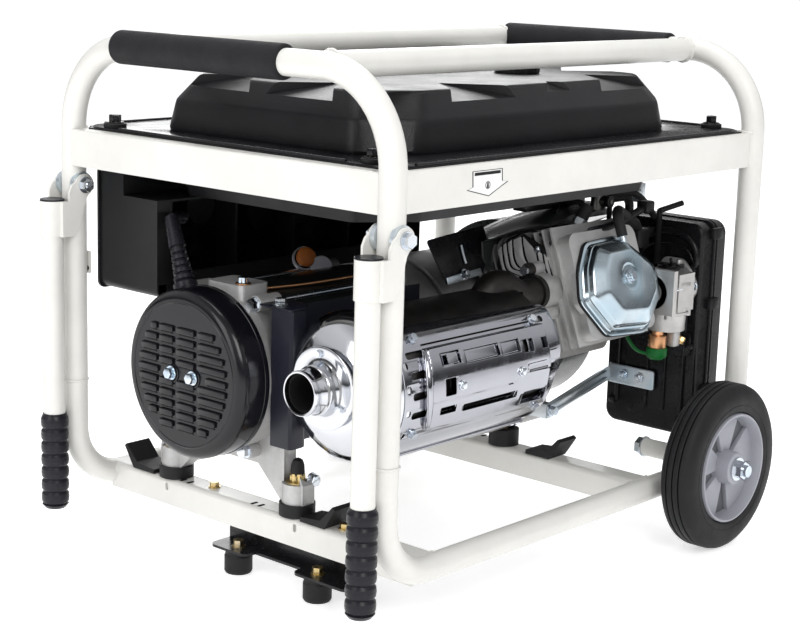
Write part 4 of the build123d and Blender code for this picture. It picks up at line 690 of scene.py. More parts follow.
def rocker_cover_piece():
    """The eight-cornered pressing on its gasket, with the bolt in its sunk middle and the breather pipe."""
    made = Piece("rocker_cover_pressing", blue_zinc, rubber, zinc)
    steps = 144
    outline = [Vector(p) for p in rounded(COVER_CORNERS, 9, 6)]
    reach = [cover_reach(2 * pi * i / steps, outline) for i in range(steps)]

    def loop(out, scale, round_r=0.0, blend=0.0):
        points = []
        for i in range(steps):
            turn = 2 * pi * i / steps
            r = reach[i] * scale * (1 - blend) + round_r * blend
            points.append(on_bore(out, r * cos(turn), COVER_CENTRE.y + r * sin(turn)))
        return points

    made.rings([loop(HEAD_TOP + 0.1, 1.012), loop(HEAD_TOP + 2.4, 1.012)], 1)
    dome = [(2.4, 0.985), (2.6, 0.998), (3.6, 1.0), (4.6, 0.99), (5.0, 0.965), (5.2, 0.93), (6.2, 0.912),
            (9.0, 0.90), (10.6, 0.893), (11.0, 0.875), (12.2, 0.862), (15.6, 0.85), (16.8, 0.838),
            (17.8, 0.815), (24.4, 0.665), (25.6, 0.635), (26.4, 0.60), (26.7, 0.56)]
    loops = [loop(HEAD_TOP + rise, scale) for rise, scale in dome]
    loops += [loop(HEAD_TOP + rise, 0.56, r, blend) for rise, r, blend in (
        (26.9, 19, 0.55), (26.9, 17.5, 1.0), (26.5, 16, 1.0),
        (25.8, 14.6, 1.0), (25.7, 12.5, 1.0), (25.7, 0.01, 1.0),
    )]
    made.rings(loops, 0, cap_end=False)
    made.hex_head(on_bore(HEAD_TOP + 25.8, 0, COVER_CENTRE.y), BORE_OUT, 10.5, 4.6, 8.2, 2)
    pipe = [on_bore(HEAD_TOP + 14, 20, up) for up in (34, 46, 60)]
    made.tube(pipe, 4.0, 2, 18, smooth=False)
    made.finish(replaces=("rocker_cover",), angle=30)


rocker_cover_piece()


# ------------------------------------------------------------------ fins, cowl and the engine's sheet metal
FIN_FACE_X, FIN_DEEP, FIN_PROUD, HALF_GAP = 381.0, 9.0, 2.0, 1.5


def fin_piece():
    """The cooling fins on the head's end: broad lands with narrow curved gaps between them, and a near-black
    sheet in the gaps as painted shade.
    """
    made = Piece("head_fins", fin_cast, black_paint, zinc_bolt, soot_and_painted_shade)
    # Each gap's middle line as (out, up), from its top to the elbow.
    gaps = [
        [(146, 64), (145, 52), (145, 40), (148, 30), (154, 18)],
        [(155, 68), (152, 50), (153, 39), (161, 33), (171, 27)],
        [(163, 70), (160, 50), (162, 39), (173, 33), (181, 28)],
        [(172, 71), (168, 50), (172, 38), (184, 33), (190, 28)],
        [(187, 72), (184, 52), (186, 40), (192, 31), (199, 24)],
        [(203, 52), (202, 42), (202, 34), (205, 24), (208, 14)],
        [(211, 46), (210, 36), (210, 26), (211, 18), (213, 6)],
        [(217, 40), (217, 30), (217, 18), (218, 8), (219, 0)],
    ]
    flat = placed((FIN_FACE_X, CRANK_Y, CRANK_Z), BORE_OUT, BORE_UP)
    for left, right in zip(gaps[:-1], gaps[1:]):
        a = [(p.x + HALF_GAP, p.y) for p in smooth_path([(*p, 0) for p in left], 5)]
        b = [(p.x - HALF_GAP, p.y) for p in smooth_path([(*p, 0) for p in right], 5)]
        made.prism(a + b[::-1], FIN_DEEP, lambda p: flat((p[0], p[1], FIN_PROUD - p[2])), 0.9, 0)
    # A near-black sheet just behind the fins' faces: painted shade in the gaps.
    painted_shade_backing = [(140, 8), (140, 46), (152, 68), (190, 74), (214, 54), (217, 20), (219, 0)]
    made.prism(painted_shade_backing, 1.0, lambda p: flat((p[0], p[1], 1.5 - p[2])), 0, 3)
    edge = [(138, 6), (138, 45), (141, 60), (152, 70), (170, 74.5), (190, 76), (205, 69), (216, 57),
            (218, 44), (218, 28), (220, 8), (222, -4)]
    made.tube([flat((out, up, -8)) for out, up in edge], 1.3, 1, 10)
    made.tube([flat((out + 0.8, up + 1.0, -9.2)) for out, up in edge], 0.7, 2, 8)
    made.hex_head(flat((206, 52, -2)), LEFT, 8, 6, 6, 2)
    made.finish(angle=30)


def cowl_piece():
    """The dark blower cowl over the barrel and the head, with the zinc plate beside the rocker cover."""
    made = Piece("blower_cowl", blower_paint, blue_zinc, black_paint, zinc, zinc_bolt)
    crown = [(-86, 56), (-80, 74), (-62, 88), (-30, 98), (10, 106),
             (56, 111), (84, 106), (102, 94), (112, 76), (114, 56)]

    def section(out, drop, floor, squeeze):
        top = [on_bore(out, along * squeeze, max(up - drop, floor)) for along, up in crown]
        return top + [on_bore(out, 112 * squeeze, floor), on_bore(out, -84 * squeeze, floor)]

    loops = []
    for row in ((62, 14, 50, 0.97), (70, 6, 46, 0.99), (90, 1, 44, 1.0), (130, 0, 44, 1.0), (136, 1, 78, 1.0),
                (166, 3, 79, 1.0), (188, 8, 80, 0.995), (200, 15, 80, 0.97), (206, 20, 80, 0.93)):
        loop = section(*row)
        loops.append(smooth_path(loop[:len(crown)], 4) + loop[len(crown):])
    made.rings(loops, 0)
    ridge = [on_bore(out, along, up) for out, along, up in
             ((204, -40, 76), (196, -10, 92), (180, 22, 104.5), (150, 50, 110.5),
             (110, 66, 110.5), (78, 70, 106))]
    made.tube(ridge, 0.9, 0, 8)
    side = placed(on_bore(224, 0, 0), RIGHT, BORE_UP)
    plate = rounded([(-66, 64), (9, 56), (2, 40), (-8, 30), (-40, 20), (-62, 12)], 4)
    made.prism(plate, 1.6, side, 0.5, 1)
    made.block((402, 148, 320), (520, 168, 330), 1.0, 2)
    sheet = placed(on_bore(130, 0, 0), RIGHT, BORE_UP)
    outline = rounded([(-176, 90), (-70, 98), (-68, 66), (-93, 40), (-158, 35)], [6, 4, 4, 2, 3])
    made.prism(outline, 1.6, sheet, 0.5, 2)
    made.prism(rounded([(-157, 44), (-94, 48), (-93, 40), (-157, 35)], 1.5), 2.6, sheet, 0.6, 3)
    made.hex_head(on_bore(132.6, -126, 44), BORE_OUT, 8, 5, 6.5, 4)
    made.tube([on_bore(134, -120, 56), on_bore(134, -121, 66), on_bore(134, -121, 78)], 1.6, 3, 10)
    made.block((596, 118, 318), (606, 138, 342), 1.0, 3)
    made.block((520, 118, 330), (600, 136, 333), 0.8, 3)
    made.finish(replaces=("engine_shroud",), angle=32)


def guard_piece():
    """The folded sheet between the alternator and the muffler, with its bolt on top."""
    made = Piece("heat_guard", guard_paint, zinc_bolt)
    line = [(33, 196), (33, 169), (36, 166), (52, 166), (56, 167.5), (72, 186), (77, 188), (262, 189)]
    sheet = 2.0
    back = [(x + 1.6, y + sheet) if i > 2 else (x + sheet, y + 0.6) for i, (x, y) in enumerate(line)]
    outline = line + back[::-1]
    made.prism(outline, 150, lifted(96), 0.5, 0)
    top = rounded([(33, 167), (56, 167), (74, 188), (74, 200), (60, 216), (33, 216)], 4)
    made.prism(top, sheet, lifted(246), 0.6, 0)
    made.hex_head((46, 196, 248), UP, 11, 6, 8, 1)
    made.finish()


fin_piece()
cowl_piece()
guard_piece()


# ------------------------------------------------------------------ tank top
TANK_MID = (327.5, 242.5)
TANK_INSET = (52.0, 59.0)
TANK_CUT = (58.0, 42.0)
PRESS_FLOOR = 478.9


def tank_loop(z, inset):
    """The tank's outline at a height, corners cut off and rounded, with as many points at every height."""
    half_x, half_y = TANK_MID[0] - TANK_INSET[0] - inset, TANK_MID[1] - TANK_INSET[1] - inset
    outline = []
    for side_x, side_y in ((1, 1), (-1, 1), (-1, -1), (1, -1)):
        cut = [(half_x, half_y - TANK_CUT[1]), (half_x - TANK_CUT[0], half_y)]
        outline += [(side_x * x, side_y * y) for x, y in (cut if side_x == side_y else cut[::-1])]
    return [Vector((TANK_MID[0] + x, TANK_MID[1] + y, z)) for x, y in rounded(outline, 12.0, 6)]


def tank_piece():
    """The tank's flange with its rolled edges and neck ring, and its top with press marks in the shoulder."""
    flange = Piece("tank_flange", black_paint)
    lip = rounded([(26, 5), (629, 5), (648, 24), (648, 461), (629, 480), (26, 480), (7, 461), (7, 24)], 22, 6)
    inner = [tuple(p.xy) for p in tank_loop(0, 1.5)]
    flange.plate([lip, inner], 3.0, lifted(413.2), 0.8)
    for y in (6.4, 478.6):
        flange.tube([(40, y, 416.4), (327, y, 416.4), (615, y, 416.4)], 2.0, 0, 12, smooth=False)
    for x in (8.4, 646.6):
        flange.tube([(x, 70, 416.4), (x, 242, 416.4), (x, 415, 416.4)], 2.0, 0, 12, smooth=False)
    neck_ring = [(477, 21), (477, 25), (479.5, 25.6), (481.6, 24.6), (482.2, 22.6), (481.8, 21)]
    flange.lathe(neck_ring, (440, 200, 0), UP, 0, 48)
    flange.finish(angle=32)

    made = Piece("tank_top_pressing", tank_paint)
    levels = [(415.2, 1), (417, 0.4), (420, -0.2), (446, 4.2), (450.5, 5.2),
              (452.6, 6.4), (475.6, 21.6), (477.6, 23.2), (478.8, 25.4), (479.2, 28)]
    made.rings([tank_loop(z, inset) for z, inset in levels], 0)
    cutters = Piece("tank_cutters", tank_paint)

    def notch(*corners):
        """A sloped three-cornered press mark: two corners low on the tank's shoulder, then its apex."""
        low = [(*corner, z) for corner, z in zip(corners, (466, 466, PRESS_FLOOR))]
        top = [(*corner, 500) for corner in corners]
        cutters.add(low + top, [[0, 2, 1], [3, 4, 5], [0, 1, 4, 3], [1, 2, 5, 4], [2, 0, 3, 5]])

    for x in (226, 493):
        notch((x - 56, 72), (x + 56, 72), (x, 140))
        notch((x + 56, 413), (x - 56, 413), (x, 345))
    for y in (196, 320):
        notch((66, y + 50), (66, y - 50), (132, y))
        notch((589, y - 50), (589, y + 50), (523, y))
    notch((330, 69), (390, 69), (360, 96))
    notch((390, 416), (330, 416), (360, 389))
    body = made.finish(replaces=("tank_upper_shell",), angle=28)
    tool = cutters.finish()
    cut = body.modifiers.new("press_marks", "BOOLEAN")
    cut.object = tool
    cut.solver = "EXACT"
    bpy.context.view_layer.update()
    pressed = bpy.data.meshes.new_from_object(body.evaluated_get(bpy.context.evaluated_depsgraph_get()))
    body.modifiers.clear()
    body.data = pressed
    pressed.name = "tank_top_pressing"
    bpy.data.objects.remove(tool)
    pressed.set_sharp_from_angle(angle=radians(28))


tank_piece()


# ------------------------------------------------------------------ alternator end cover
COVER_FACE_X, SLATS_R = -12, 70


def louvre_piece():
    """Rows of proud slats on the end cover, two thin rings round it and the two bolts in the middle."""
    made = Piece("alternator_louvres", gloss_plastic, black_plastic, zinc_bolt)
    face = placed((COVER_FACE_X, CRANK_Y, CRANK_Z), NEAR, UP)
    peg = [(0, 0), (0, 1.5), (3.0, 1.2), (3.4, 0.5), (3.5, 0)]
    for up in (49, 37, 25, 13, 1, -10, -22, -34, -45, -57):
        reach = (SLATS_R ** 2 - up ** 2) ** 0.5
        groups = [(-reach, -38), (38, reach)]
        if abs(up) > 8:
            groups = [(-reach, -40), (-36, -14), (-8, 20), (26, reach)]
        for u0, u1 in groups:
            if u1 - u0 < 8:
                continue
            made.prism(oblong(u0, u1, up - 3.6, up + 3.6, 2.4, 3), 2.6, face, 1.0, 0)
            made.prism(oblong(u0 + 1.5, u1 - 1.5, up - 6.0, up - 4.4, 0.7, 2), 0.7, face, 0.2, 1)
            made.turned(peg, face((u1 - 1.6, up + 1.4, 0)), LEFT, 0, 12)
    for ring in ([(12.0, 78.2), (12.6, 79), (12.6, 80), (12.0, 80.8)],
                 [(-26, 93.4), (-25.5, 94.2), (-22, 94.2), (-21.5, 93.4)]):
        made.lathe(ring, (0, CRANK_Y, CRANK_Z), LEFT, 0, 96)
    boss = [(0, 0), (0, 11.5), (1.0, 11.2), (1.4, 9.6), (0.6, 8.6), (0.5, 0)]
    for y in (CRANK_Y - 17, CRANK_Y + 17):
        made.turned(boss, (COVER_FACE_X, y, CRANK_Z), LEFT, 0, 36)
        made.hex_head((COVER_FACE_X - 1, y, CRANK_Z), LEFT, 10.5, 5.6, 8.0, 2)
    made.finish(angle=30)


louvre_piece()


# ------------------------------------------------------------------ air box and carburettor
AIR_X, AIR_Y0, AIR_Y1, AIR_Z0, AIR_Z1 = 600.0, 27.0, 158.0, 32.0, 301.0


def air_box_piece():
    """Raised ribs, the big arched duct and the rim on the air box's face."""
    made = Piece("air_box_relief", air_box_plastic, zinc_bolt, black_plastic)
    face = placed((AIR_X, 0, 0), NEAR, UP)
    arch = [(-122, 262), (-112, 276), (-94, 286), (-70, 288), (-50, 284), (-37, 272), (-33, 256), (-38, 246)]
    made.tube([face((u, v, 1.0)) for u, v in arch], 4.2, 0, 14)
    made.tube([face((u * 0.93 - 6, v - 14, 0.6)) for u, v in arch], 2.2, 0, 12)
    for u, v0, v1, r in ((-44, 60, 236, 3.2), (-70, 60, 190, 2.2), (-96, 60, 150, 2.2), (-140, 60, 250, 3.4)):
        made.tube([face((u, v, 0.4)) for v in (v0, (v0 + v1) / 2, v1)], r, 0, 12, smooth=False)
    made.prism(oblong(-62, -34, 134, 166, 8, 5), 3.0, face, 1.2, 0)
    for u, v in ((-38, 244), (-44, 156), (-36, 147), (-39, 60), (-146, 60), (-147, 270)):
        made.turned([(0, 0), (0, 5.5), (4.5, 4.6), (5.5, 3), (5.7, 0)], face((u, v, 0)), LEFT, 0, 20)
        made.pan_head(face((u, v, 5.4)), LEFT, 2.6, 1.4, 2)
    rim = oblong(AIR_Y0, AIR_Y1, AIR_Z0, AIR_Z1, 16, 6)
    inner = oblong(AIR_Y0 + 3, AIR_Y1 - 3, AIR_Z0 + 3, AIR_Z1 - 3, 13, 6)
    mid_y, mid_z = (AIR_Y0 + AIR_Y1) / 2, (AIR_Z0 + AIR_Z1) / 2
    grown = [((y - mid_y) * 1.032 + mid_y, (z - mid_z) * 1.016 + mid_z) for y, z in rim]
    for x0, depth in ((624.0, 4.0), (630.2, 3.2)):
        made.plate([grown, inner], depth, lambda p, x0=x0: Vector((x0 + p[2], p[0], p[1])), 0.9, 0)
    for z in (90, 200, 288):
        made.block((618, 21, z - 7), (638, 28, z + 7), 1.6, 2)
    made.finish(angle=32)


def carburettor_piece():
    """The pale cast body with its flange, bowl and brass drain, the fuel cut coil and the throttle rods."""
    made = Piece("carburettor_castings", bright_cast, brass, copper, green_plastic, zinc_bolt, black_plastic)
    barrel = [(-33, 0), (-33, 21), (-28, 22), (-22, 19.5), (-12, 19), (14, 19), (20, 21), (33, 22), (33, 0)]
    made.turned(barrel, (567, 52, 222), RIGHT, 0, 40)
    flange = rounded([(-27, -14), (-16, -30), (14, -30), (29, -8), (29, 12), (14, 31), (-12, 31), (-27, 16)], 5)
    made.prism(flange, 5, placed((590, 60, 226), FAR, UP), 0.9, 0)
    made.block((553, 34, 207), (583, 72, 240), 6.0, 0)
    made.block((556, 26, 226), (580, 36, 236), 2.5, 0)
    bowl = [(-20, 0), (-20, 26.5), (-23.5, 26.5), (-24, 25), (-25.5, 25), (-26, 26.5),
            (-29, 26.5), (-30, 24), (-42, 23.2), (-46, 20), (-49, 15), (-50, 0)]
    made.turned(bowl, (568, 52, 222), UP, 0, 44)
    for x in (547, 589):
        made.turned([(-33, 0), (-33, 4.6), (-16, 4.6), (-15, 3.8), (-15, 0)], (x, 36, 222), UP, 0, 16)
        made.pan_head((x, 36, 237), UP, 4, 2.6, 4)
    made.block((561, 34, 152), (575, 46, 176), 2.4, 0)
    made.hex_head((578, 40, 160), (0.5, -0.8, -0.3), 9, 7, 6, 1)
    made.tube([(536, 30, 226), (556, 29, 226), (588, 30, 226)], 3.2, 4, 12, smooth=False)
    made.hex_head((588, 30, 226), RIGHT, 8, 5, 6, 4)
    made.lathe([(0, 8), (3, 8), (3, 14), (5, 14), (5, 8), (8, 8), (8, 3)], (568, 52, 244), UP, 5, 24)
    made.tube([(568, 52, 246), (560, 44, 256), (552, 40, 262)], 2.2, 5, 10)
    made.finish(angle=32)
    coil = Piece("fuel_cut_coil", copper, green_plastic)
    can = [(172, 0), (172, 7.5), (167.5, 7.5), (166.5, 10.8), (165, 11.2), (150, 11.2), (149, 10.6), (149, 0)]
    cap = [(151, 11.5), (151, 12.4), (149.5, 12.8), (141, 12.8), (139, 11.6), (138, 9), (136.6, 8.2),
           (136.4, 0), (150, 0)]
    for paint, profile in enumerate((can, cap)):
        coil.turned(profile, (551, 52, 0), UP, paint, 40)
    coil.tube([(545, 60, 142), (540, 74, 146), (538, 88, 162), (540, 98, 184)], 1.8, 1, 10)
    coil.tube([(548, 62, 142), (545, 78, 144), (544, 92, 158), (546, 102, 182)], 1.8, 1, 10)
    coil.finish(replaces=("fuel_cut_solenoid",), angle=32)
    rods = Piece("throttle_rods", black_plastic, rubber, zinc_bolt)
    rods.tube([(412, 84, 296), (470, 78, 304), (524, 80, 314), (556, 86, 320)], 4.6, 0, 12)
    rods.tube([(440, 96, 300), (500, 88, 306), (560, 82, 318)], 2.6, 2, 10)
    rods.block((548, 76, 314), (566, 92, 328), 2.4, 0)
    rods.turned([(0, 0), (0, 10), (5, 10), (6, 8), (6, 0)], (470, 84, 296), (0, -1, 0.1), 0, 24)
    rods.tube([(520, 118, 331), (566, 112, 334), (592, 106, 318), (606, 100, 296)], 4.2, 1, 14)
    rods.block((548, 86, 268), (574, 100, 292), 3.0, 0)
    rods.finish()


def strut_piece():
    """The zinc strut to the air box: a pressed bar with two long ribs, and its tab with two bolts."""
    made = Piece("air_box_strut", zinc, zinc_bolt)
    start, end = Vector((463, 146.5, 67)), Vector((592, 146.5, 96))
    run = (end - start).normalized()
    length = (end - start).length
    side = placed(start + Vector((0, 3.5, 0)), run, run.cross(Vector(FAR)))
    made.prism(oblong(0, length, -9, 9, 3, 4), 3.0, side, 0.6)
    for v in (-4.6, 4.6):
        rib = [side((t * length, v, 3.2)) for t in (0.05, 0.1, 0.35, 0.65, 0.9, 0.95)]
        made.tube(rib, lambda t: 2.6 * min(1.0, 6 * t + 0.25, 6 * (1 - t) + 0.25), 0, 12, smooth=False)
    made.block((459, 147, 57), (470, 197, 77), 2.0)
    tab = placed((594, 0, 96), FAR, UP)
    made.plate([rounded([(82, -13), (151, -13), (151, 12), (82, 12)], [4, 2, 2, 4])], 3.0, tab, 0.6)
    for y in (104, 128):
        made.hex_head((593.5, y, 96), LEFT, 8.5, 4.6, 6.8, 1)
    made.finish(replaces=("air_cleaner_strut",))


air_box_piece()
carburettor_piece()
strut_piece()


# ------------------------------------------------------------------ frame details
def frame_detail_piece():
    """Weld beads, near-black patches on the crossbars as painted shade for their stamped slots, and the arrow
    mark on the tank rail.
    """
    made = Piece("weld_beads", cream)

    def bead(points, r=2.6):
        made.tube(points, lambda t: r * (0.8 + 0.2 * abs(sin(t * 40))), 0, 10)

    def collar(centre, direction, r, bead_r=2.6):
        _, u, v = axes_for(direction)
        turns = [radians(a) for a in range(0, 361, 10)]
        bead([Vector(centre) + (u * cos(turn) + v * sin(turn)) * r for turn in turns], bead_r)

    for y in (98, 387):
        for x in (14.2, 640.8):
            collar((x, y, 508), RIGHT, 14.2)
    for x, side in ((0, 1), (655, -1)):
        for y in (0, 485):
            if x == 0:
                collar((x, y, 122), UP, 14.3, 1.4)
            bead([(x + side * 12, y - 8, 414), (x + side * 14, y, 413.5), (x + side * 12, y + 8, 414)], 2.0)
            bead([(x + side * 13, y - 6, 373), (x + side * 14.4, y, 372.5), (x + side * 13, y + 6, 373)], 2.0)
    for y, inward in ((0, 1), (485, -1)):
        for x0 in (50, 441):
            for x in (x0, x0 + 34):
                bead([(x, y + inward * 6, 12.6), (x, y + inward * 11, 8), (x, y + inward * 13.6, 2)], 2.2)
    made.finish(angle=50)

    marks = Piece("arrow_mark", mark_ink, mark_white)
    rail = placed((0, -4.8, 0), RIGHT, UP)
    outer = [(113, 406), (161, 406), (162, 393), (171, 392), (140, 379), (105, 387.5), (114, 390)]
    centre = Vector((138, 395))
    inner, white = ([tuple(centre + (Vector(p) - centre) * scale) for p in outer] for scale in (0.95, 0.945))
    marks.plate([outer, inner], 0.3, rail)
    marks.plate([white], 0.2, rail, 0.0, 1)
    marks.plate([oblong(116.5, 158, 401.2, 404.4, 0.4, 2)], 0.35, rail)
    marks.plate([circle(138, 390.5, 3.9), circle(138, 390.5, 3.1)], 0.35, rail)
    marks.plate([rounded([(136.4, 387.8), (139.6, 387.8), (139.0, 393.2), (137.0, 393.2)], 0.6)], 0.38, rail)
    marks.finish()

    holes = Piece("crossbar_slots_painted_shade", soot_and_painted_shade)
    # Flat near-black patches on the crossbars' top: painted shade standing for the stamped slots.
    for x, y in ((62, 364), (62, 352), (62, 246), (62, 235), (62, 180), (60, 428), (470, 330), (470, 250)):
        holes.prism(oblong(x - 8, x + 2, y - 2.2, y + 2.2, 2.1, 4), 0.25, lifted(14.0))
    holes.finish()


def tank_bolt_piece():
    """The black bolts and wide washers at the tank's corners."""
    made = Piece("tank_corner_bolts", black_paint, rubber)
    washer = [(416, 3), (416, 12.2), (417, 12.8), (420.4, 12.8), (421.2, 11.8), (421.2, 3)]
    for x in (22, 633):
        for y in (46, 439):
            made.lathe(washer, (x, y, 0), UP, 1, 36)
            made.hex_head((x, y, 421), UP, 12, 8, 10, 0)
    made.finish()


def bay_piece():
    """Small fittings: the earth bolt and strip, bracket bolts, the knob, the pale tab and the mount caps."""
    made = Piece("small_fittings", copper, orange_plastic, hub_grey, pale_plastic, gold_zinc, rubber, zinc_bolt)
    made.hex_head((46, 254, 262), UP, 10, 5.5, 8.5, 0)
    made.hex_head((79, 178, 52), NEAR, 12, 7, 8.5, 6)
    spot, out = (226, 340, 258), (-0.4, -0.8, 0.4)
    made.turned([(0, 0), (0, 9), (3, 11), (9, 12), (12, 10), (14, 5), (14.5, 0)], spot, out, 1, 36)
    made.lathe([(-3, 12.6), (-3, 14.4), (2, 14.4), (2, 12.6)], spot, out, 2, 36)
    made.prism(circle(0, 0, 13, 24), 3, placed((236, 322, 250), (0.8, -0.6, 0), UP), 0.8, 2)
    made.block((12, 474, 246), (15, 482, 272), 1.0, 3)
    made.pan_head((12, 478, 252), LEFT, 3.4, 2.2, 5)
    made.tube([(84, 258, 252), (150, 252, 250.6), (260, 250, 250.6)], 1.8, 0, 10)
    cap = [(59, 0), (59, 7.6), (62, 7.8), (70, 7.2), (75, 5.4), (77, 2.6), (77.4, 0)]
    for y in (187, 385):
        made.hex_head((67, y, 50), UP, 15, 9, 0, 4)
        made.turned(cap, (67, y, 0), UP, 5, 28)
    made.finish()


def clamp_rings():
    """The hoses' clamps, and the tapered sleeve and lead above the ribbed boot."""
    made = Piece("hose_clips", zinc_bolt, boot_rubber)
    for centre, direction in (((518, 118, 329), RIGHT), ((524, 118, 329), RIGHT), ((572, 86, 228), FAR)):
        made.lathe([(-1.2, 5.9), (-1.0, 6.6), (1.0, 6.6), (1.2, 5.9)], centre, direction, 0, 28)
    base, heading = Vector((22, 318, 248)), Vector((12, 34, 58)).normalized()
    sleeve = [base + heading * t for t in (52, 60, 70, 80, 88)]
    made.tube(sleeve, lambda t: 9.6 - 2.2 * t, 1, 24, smooth=False)
    made.tube([base + heading * 86, (58, 366, 318), (70, 384, 318), (92, 412, 310)], 6.2, 1, 16)
    made.finish()


frame_detail_piece()
tank_bolt_piece()
bay_piece()
clamp_rings()


# ------------------------------------------------------------------ wheels
WHEEL_X, AXLE_Z = 545.0, 25.0


def wheel_pieces(side, middle_y, out):
    """One wheel: a tyre with three grooves and rounded walls, and a hub with five sunk wedges."""
    centre = (WHEEL_X, middle_y, AXLE_Z)
    tyre = Piece("tyre_" + side, tyre_rubber)
    wall = [(17, 65.5), (20.5, 68), (21.6, 71), (22.4, 80), (21.4, 88), (18.6, 94.5),
            (15.4, 98.4), (13.6, 99.6)]
    tread = []
    for groove in (8.2, 0, -8.2):
        tread += [(groove + 1.6, 100.6), (groove + 0.9, 100.2), (groove + 0.7, 97.6), (groove - 0.7, 97.6),
                  (groove - 0.9, 100.2), (groove - 1.6, 100.6)]
    tyre.lathe(wall + tread + [(-along, r) for along, r in wall[::-1]], centre, (0, out, 0), 0, 112)
    for along in (21.9, -21.9):
        line = [(along - 0.5, 75), (along + 0.55, 75.6), (along + 0.55, 76.4), (along - 0.5, 77)]
        tyre.lathe(line, centre, (0, out, 0), 0, 112)
    tyre.finish(body="wheel_" + side, replaces=("wheel_tyre_" + side,), angle=30)
    hub = Piece("hub_" + side, hub_grey, hub_shadow)
    rim = [(21.5, 66), (22.6, 65.4), (22.6, 63.4), (21.5, 62.6), (11.5, 60.5), (3.2, 59.5)]
    hub.lathe(rim + [(-along, r) for along, r in rim[::-1]], centre, (0, out, 0), 0, 96)
    # The web between the rims takes the darker grey: painted shade.
    hub.lathe([(3.1, 60), (3.1, 18), (-3.1, 18), (-3.1, 60)], centre, (0, out, 0), 1, 96)
    boss = [(26, 8.5), (26, 17.8), (24.8, 19.2), (12, 20.5)]
    hub.lathe(boss + [(-along, r) for along, r in boss[::-1]], centre, (0, out, 0), 0, 48)
    for face in (1, -1):
        flat = placed((WHEEL_X, middle_y + out * face * 3.0, AXLE_Z), (-out * face, 0, 0), UP)
        for turn in range(5):
            middle = 90 + 72 * turn
            rim_side = arc_points(0, 0, 60.6, middle - 23, middle + 23, 10)
            boss_side = arc_points(0, 0, 19.5, middle + 25, middle - 25, 6)
            hub.prism(rim_side + boss_side, 6.0, flat, 0.9, 0)
    hub.finish(body="wheel_" + side, replaces=("wheel_hub_" + side,), angle=32)


wheel_pieces("near", -48.5, -1)
wheel_pieces("far", 533.5, 1)


# ------------------------------------------------------------------ camera, lights and floor
camera_data = bpy.data.cameras.new("camera")
camera = bpy.data.objects.new("camera", camera_data)
bpy.context.scene.collection.objects.link(camera)
camera_data.sensor_width = 36.0
camera_data.lens = 80.62
camera_data.clip_end = 80.0
CAMERA_YAW, CAMERA_PITCH, CAMERA_ROLL = radians(48.5005), radians(11.7427), radians(1.6575)
forward = Vector((sin(CAMERA_YAW) * cos(CAMERA_PITCH), cos(CAMERA_YAW) * cos(CAMERA_PITCH), -sin(CAMERA_PITCH)))
level = Vector((cos(CAMERA_YAW), -sin(CAMERA_YAW), 0.0))
upward = level.cross(forward)
right = cos(CAMERA_ROLL) * level + sin(CAMERA_ROLL) * upward
up = -sin(CAMERA_ROLL) * level + cos(CAMERA_ROLL) * upward
turn = Matrix((right, up, -forward)).transposed().to_4x4()
camera.matrix_world = Matrix.Translation(at(-1263.611, -1131.867, 626.995)) @ turn
bpy.context.scene.camera = camera


def area_light(name, place, size, power, size_y=None):
    """A soft lamp that looks at the middle of the generator."""
    data = bpy.data.lights.new(name, "AREA")
    data.shape = "RECTANGLE"
    data.size = size
    data.size_y = size_y or size
    data.energy = power
    light = bpy.data.objects.new(name, data)
    light.location = place
    light.rotation_euler = (Vector((0, 0, 0.3)) - Vector(place)).to_track_quat("-Z", "Y").to_euler()
    bpy.context.scene.collection.objects.link(light)


area_light("key", (-1.6, -2.6, 2.2), 1.4, 46, 1.8)
area_light("left", (-2.8, 0.2, 1.2), 1.2, 22, 2.0)
area_light("top", (0.1, 0.2, 2.6), 1.8, 30)
area_light("rim", (2.0, 2.0, 1.6), 1.6, 26)


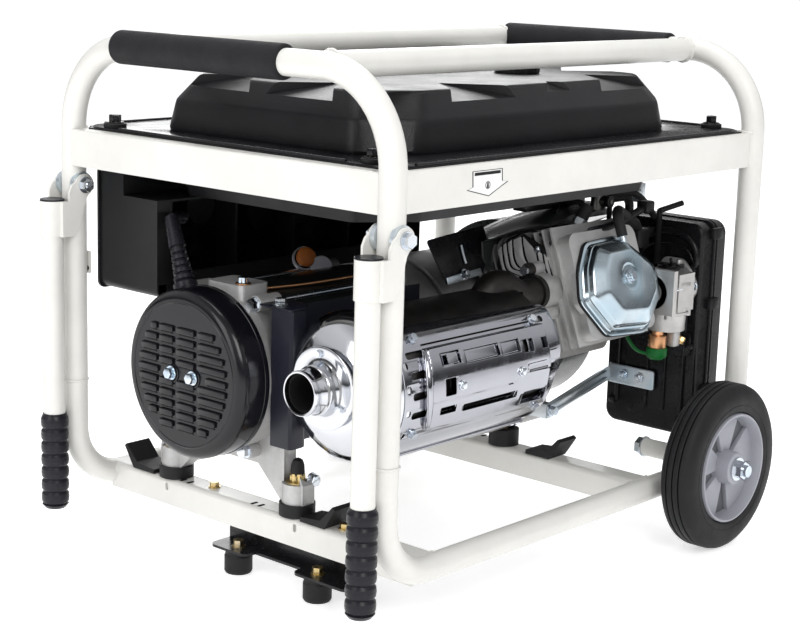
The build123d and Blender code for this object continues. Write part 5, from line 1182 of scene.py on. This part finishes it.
def studio_world():
    """The studio's walls by height, for the lighting, and an even white behind everything for the camera."""
    world = bpy.data.worlds.new("studio")
    bpy.context.scene.world = world
    world.use_nodes = True
    tree = world.node_tree
    background = tree.nodes["Background"]
    sky = tree.nodes.new("ShaderNodeTexCoord")
    parts = tree.nodes.new("ShaderNodeSeparateXYZ")
    bands = tree.nodes.new("ShaderNodeValToRGB")
    paths = tree.nodes.new("ShaderNodeLightPath")
    choose = tree.nodes.new("ShaderNodeMix")
    choose.data_type = "RGBA"
    tree.links.new(sky.outputs["Generated"], parts.inputs[0])
    span = tree.nodes.new("ShaderNodeMapRange")
    span.inputs["From Min"].default_value = -1.0
    tree.links.new(parts.outputs["Z"], span.inputs["Value"])
    tree.links.new(span.outputs["Result"], bands.inputs["Fac"])
    # A dark band behind the pale floor, then soft white up to a dimmer ceiling.
    levels = [(0.0, 0.75), (0.49, 0.72), (0.505, 0.10), (0.56, 0.14),
              (0.66, 0.85), (0.82, 1.0), (0.93, 0.55), (1.0, 0.45)]
    while len(bands.color_ramp.elements) < len(levels):
        bands.color_ramp.elements.new(0.5)
    for element, (place, value) in zip(bands.color_ramp.elements, levels):
        element.position = place
        element.color = (value, value * 1.005, value * 1.02, 1)
    tree.links.new(bands.outputs["Color"], choose.inputs[MIX_FIRST])
    choose.inputs[MIX_SECOND].default_value = (1.25, 1.25, 1.25, 1)
    tree.links.new(paths.outputs["Is Camera Ray"], choose.inputs["Factor"])
    tree.links.new(choose.outputs[MIX_RESULT], background.inputs["Color"])
    background.inputs["Strength"].default_value = 0.8


def pale_floor():
    """A pale floor to stand on. It is staging, so it isn't part of the generator."""
    mesh = bpy.data.meshes.new("floor")
    mesh.from_pydata([(-30, -30, 0), (30, -30, 0), (30, 30, 0), (-30, 30, 0)], [], [(0, 1, 2, 3)])
    shader = Shader("pale_floor")
    tone = shader.ramp(shader.noise(1.5, 3.0), (0.84, 0.84, 0.84), (0.88, 0.88, 0.88))
    mesh.materials.append(shader.done(tone, 0.7, Emission_Color=(0.9, 0.9, 0.9, 1), Emission_Strength=0.62))
    thing = bpy.data.objects.new("floor", mesh)
    bpy.context.scene.collection.objects.link(thing)
    return thing


studio_world()
floor = pale_floor()

bpy.context.scene.view_settings.view_transform = "Standard"
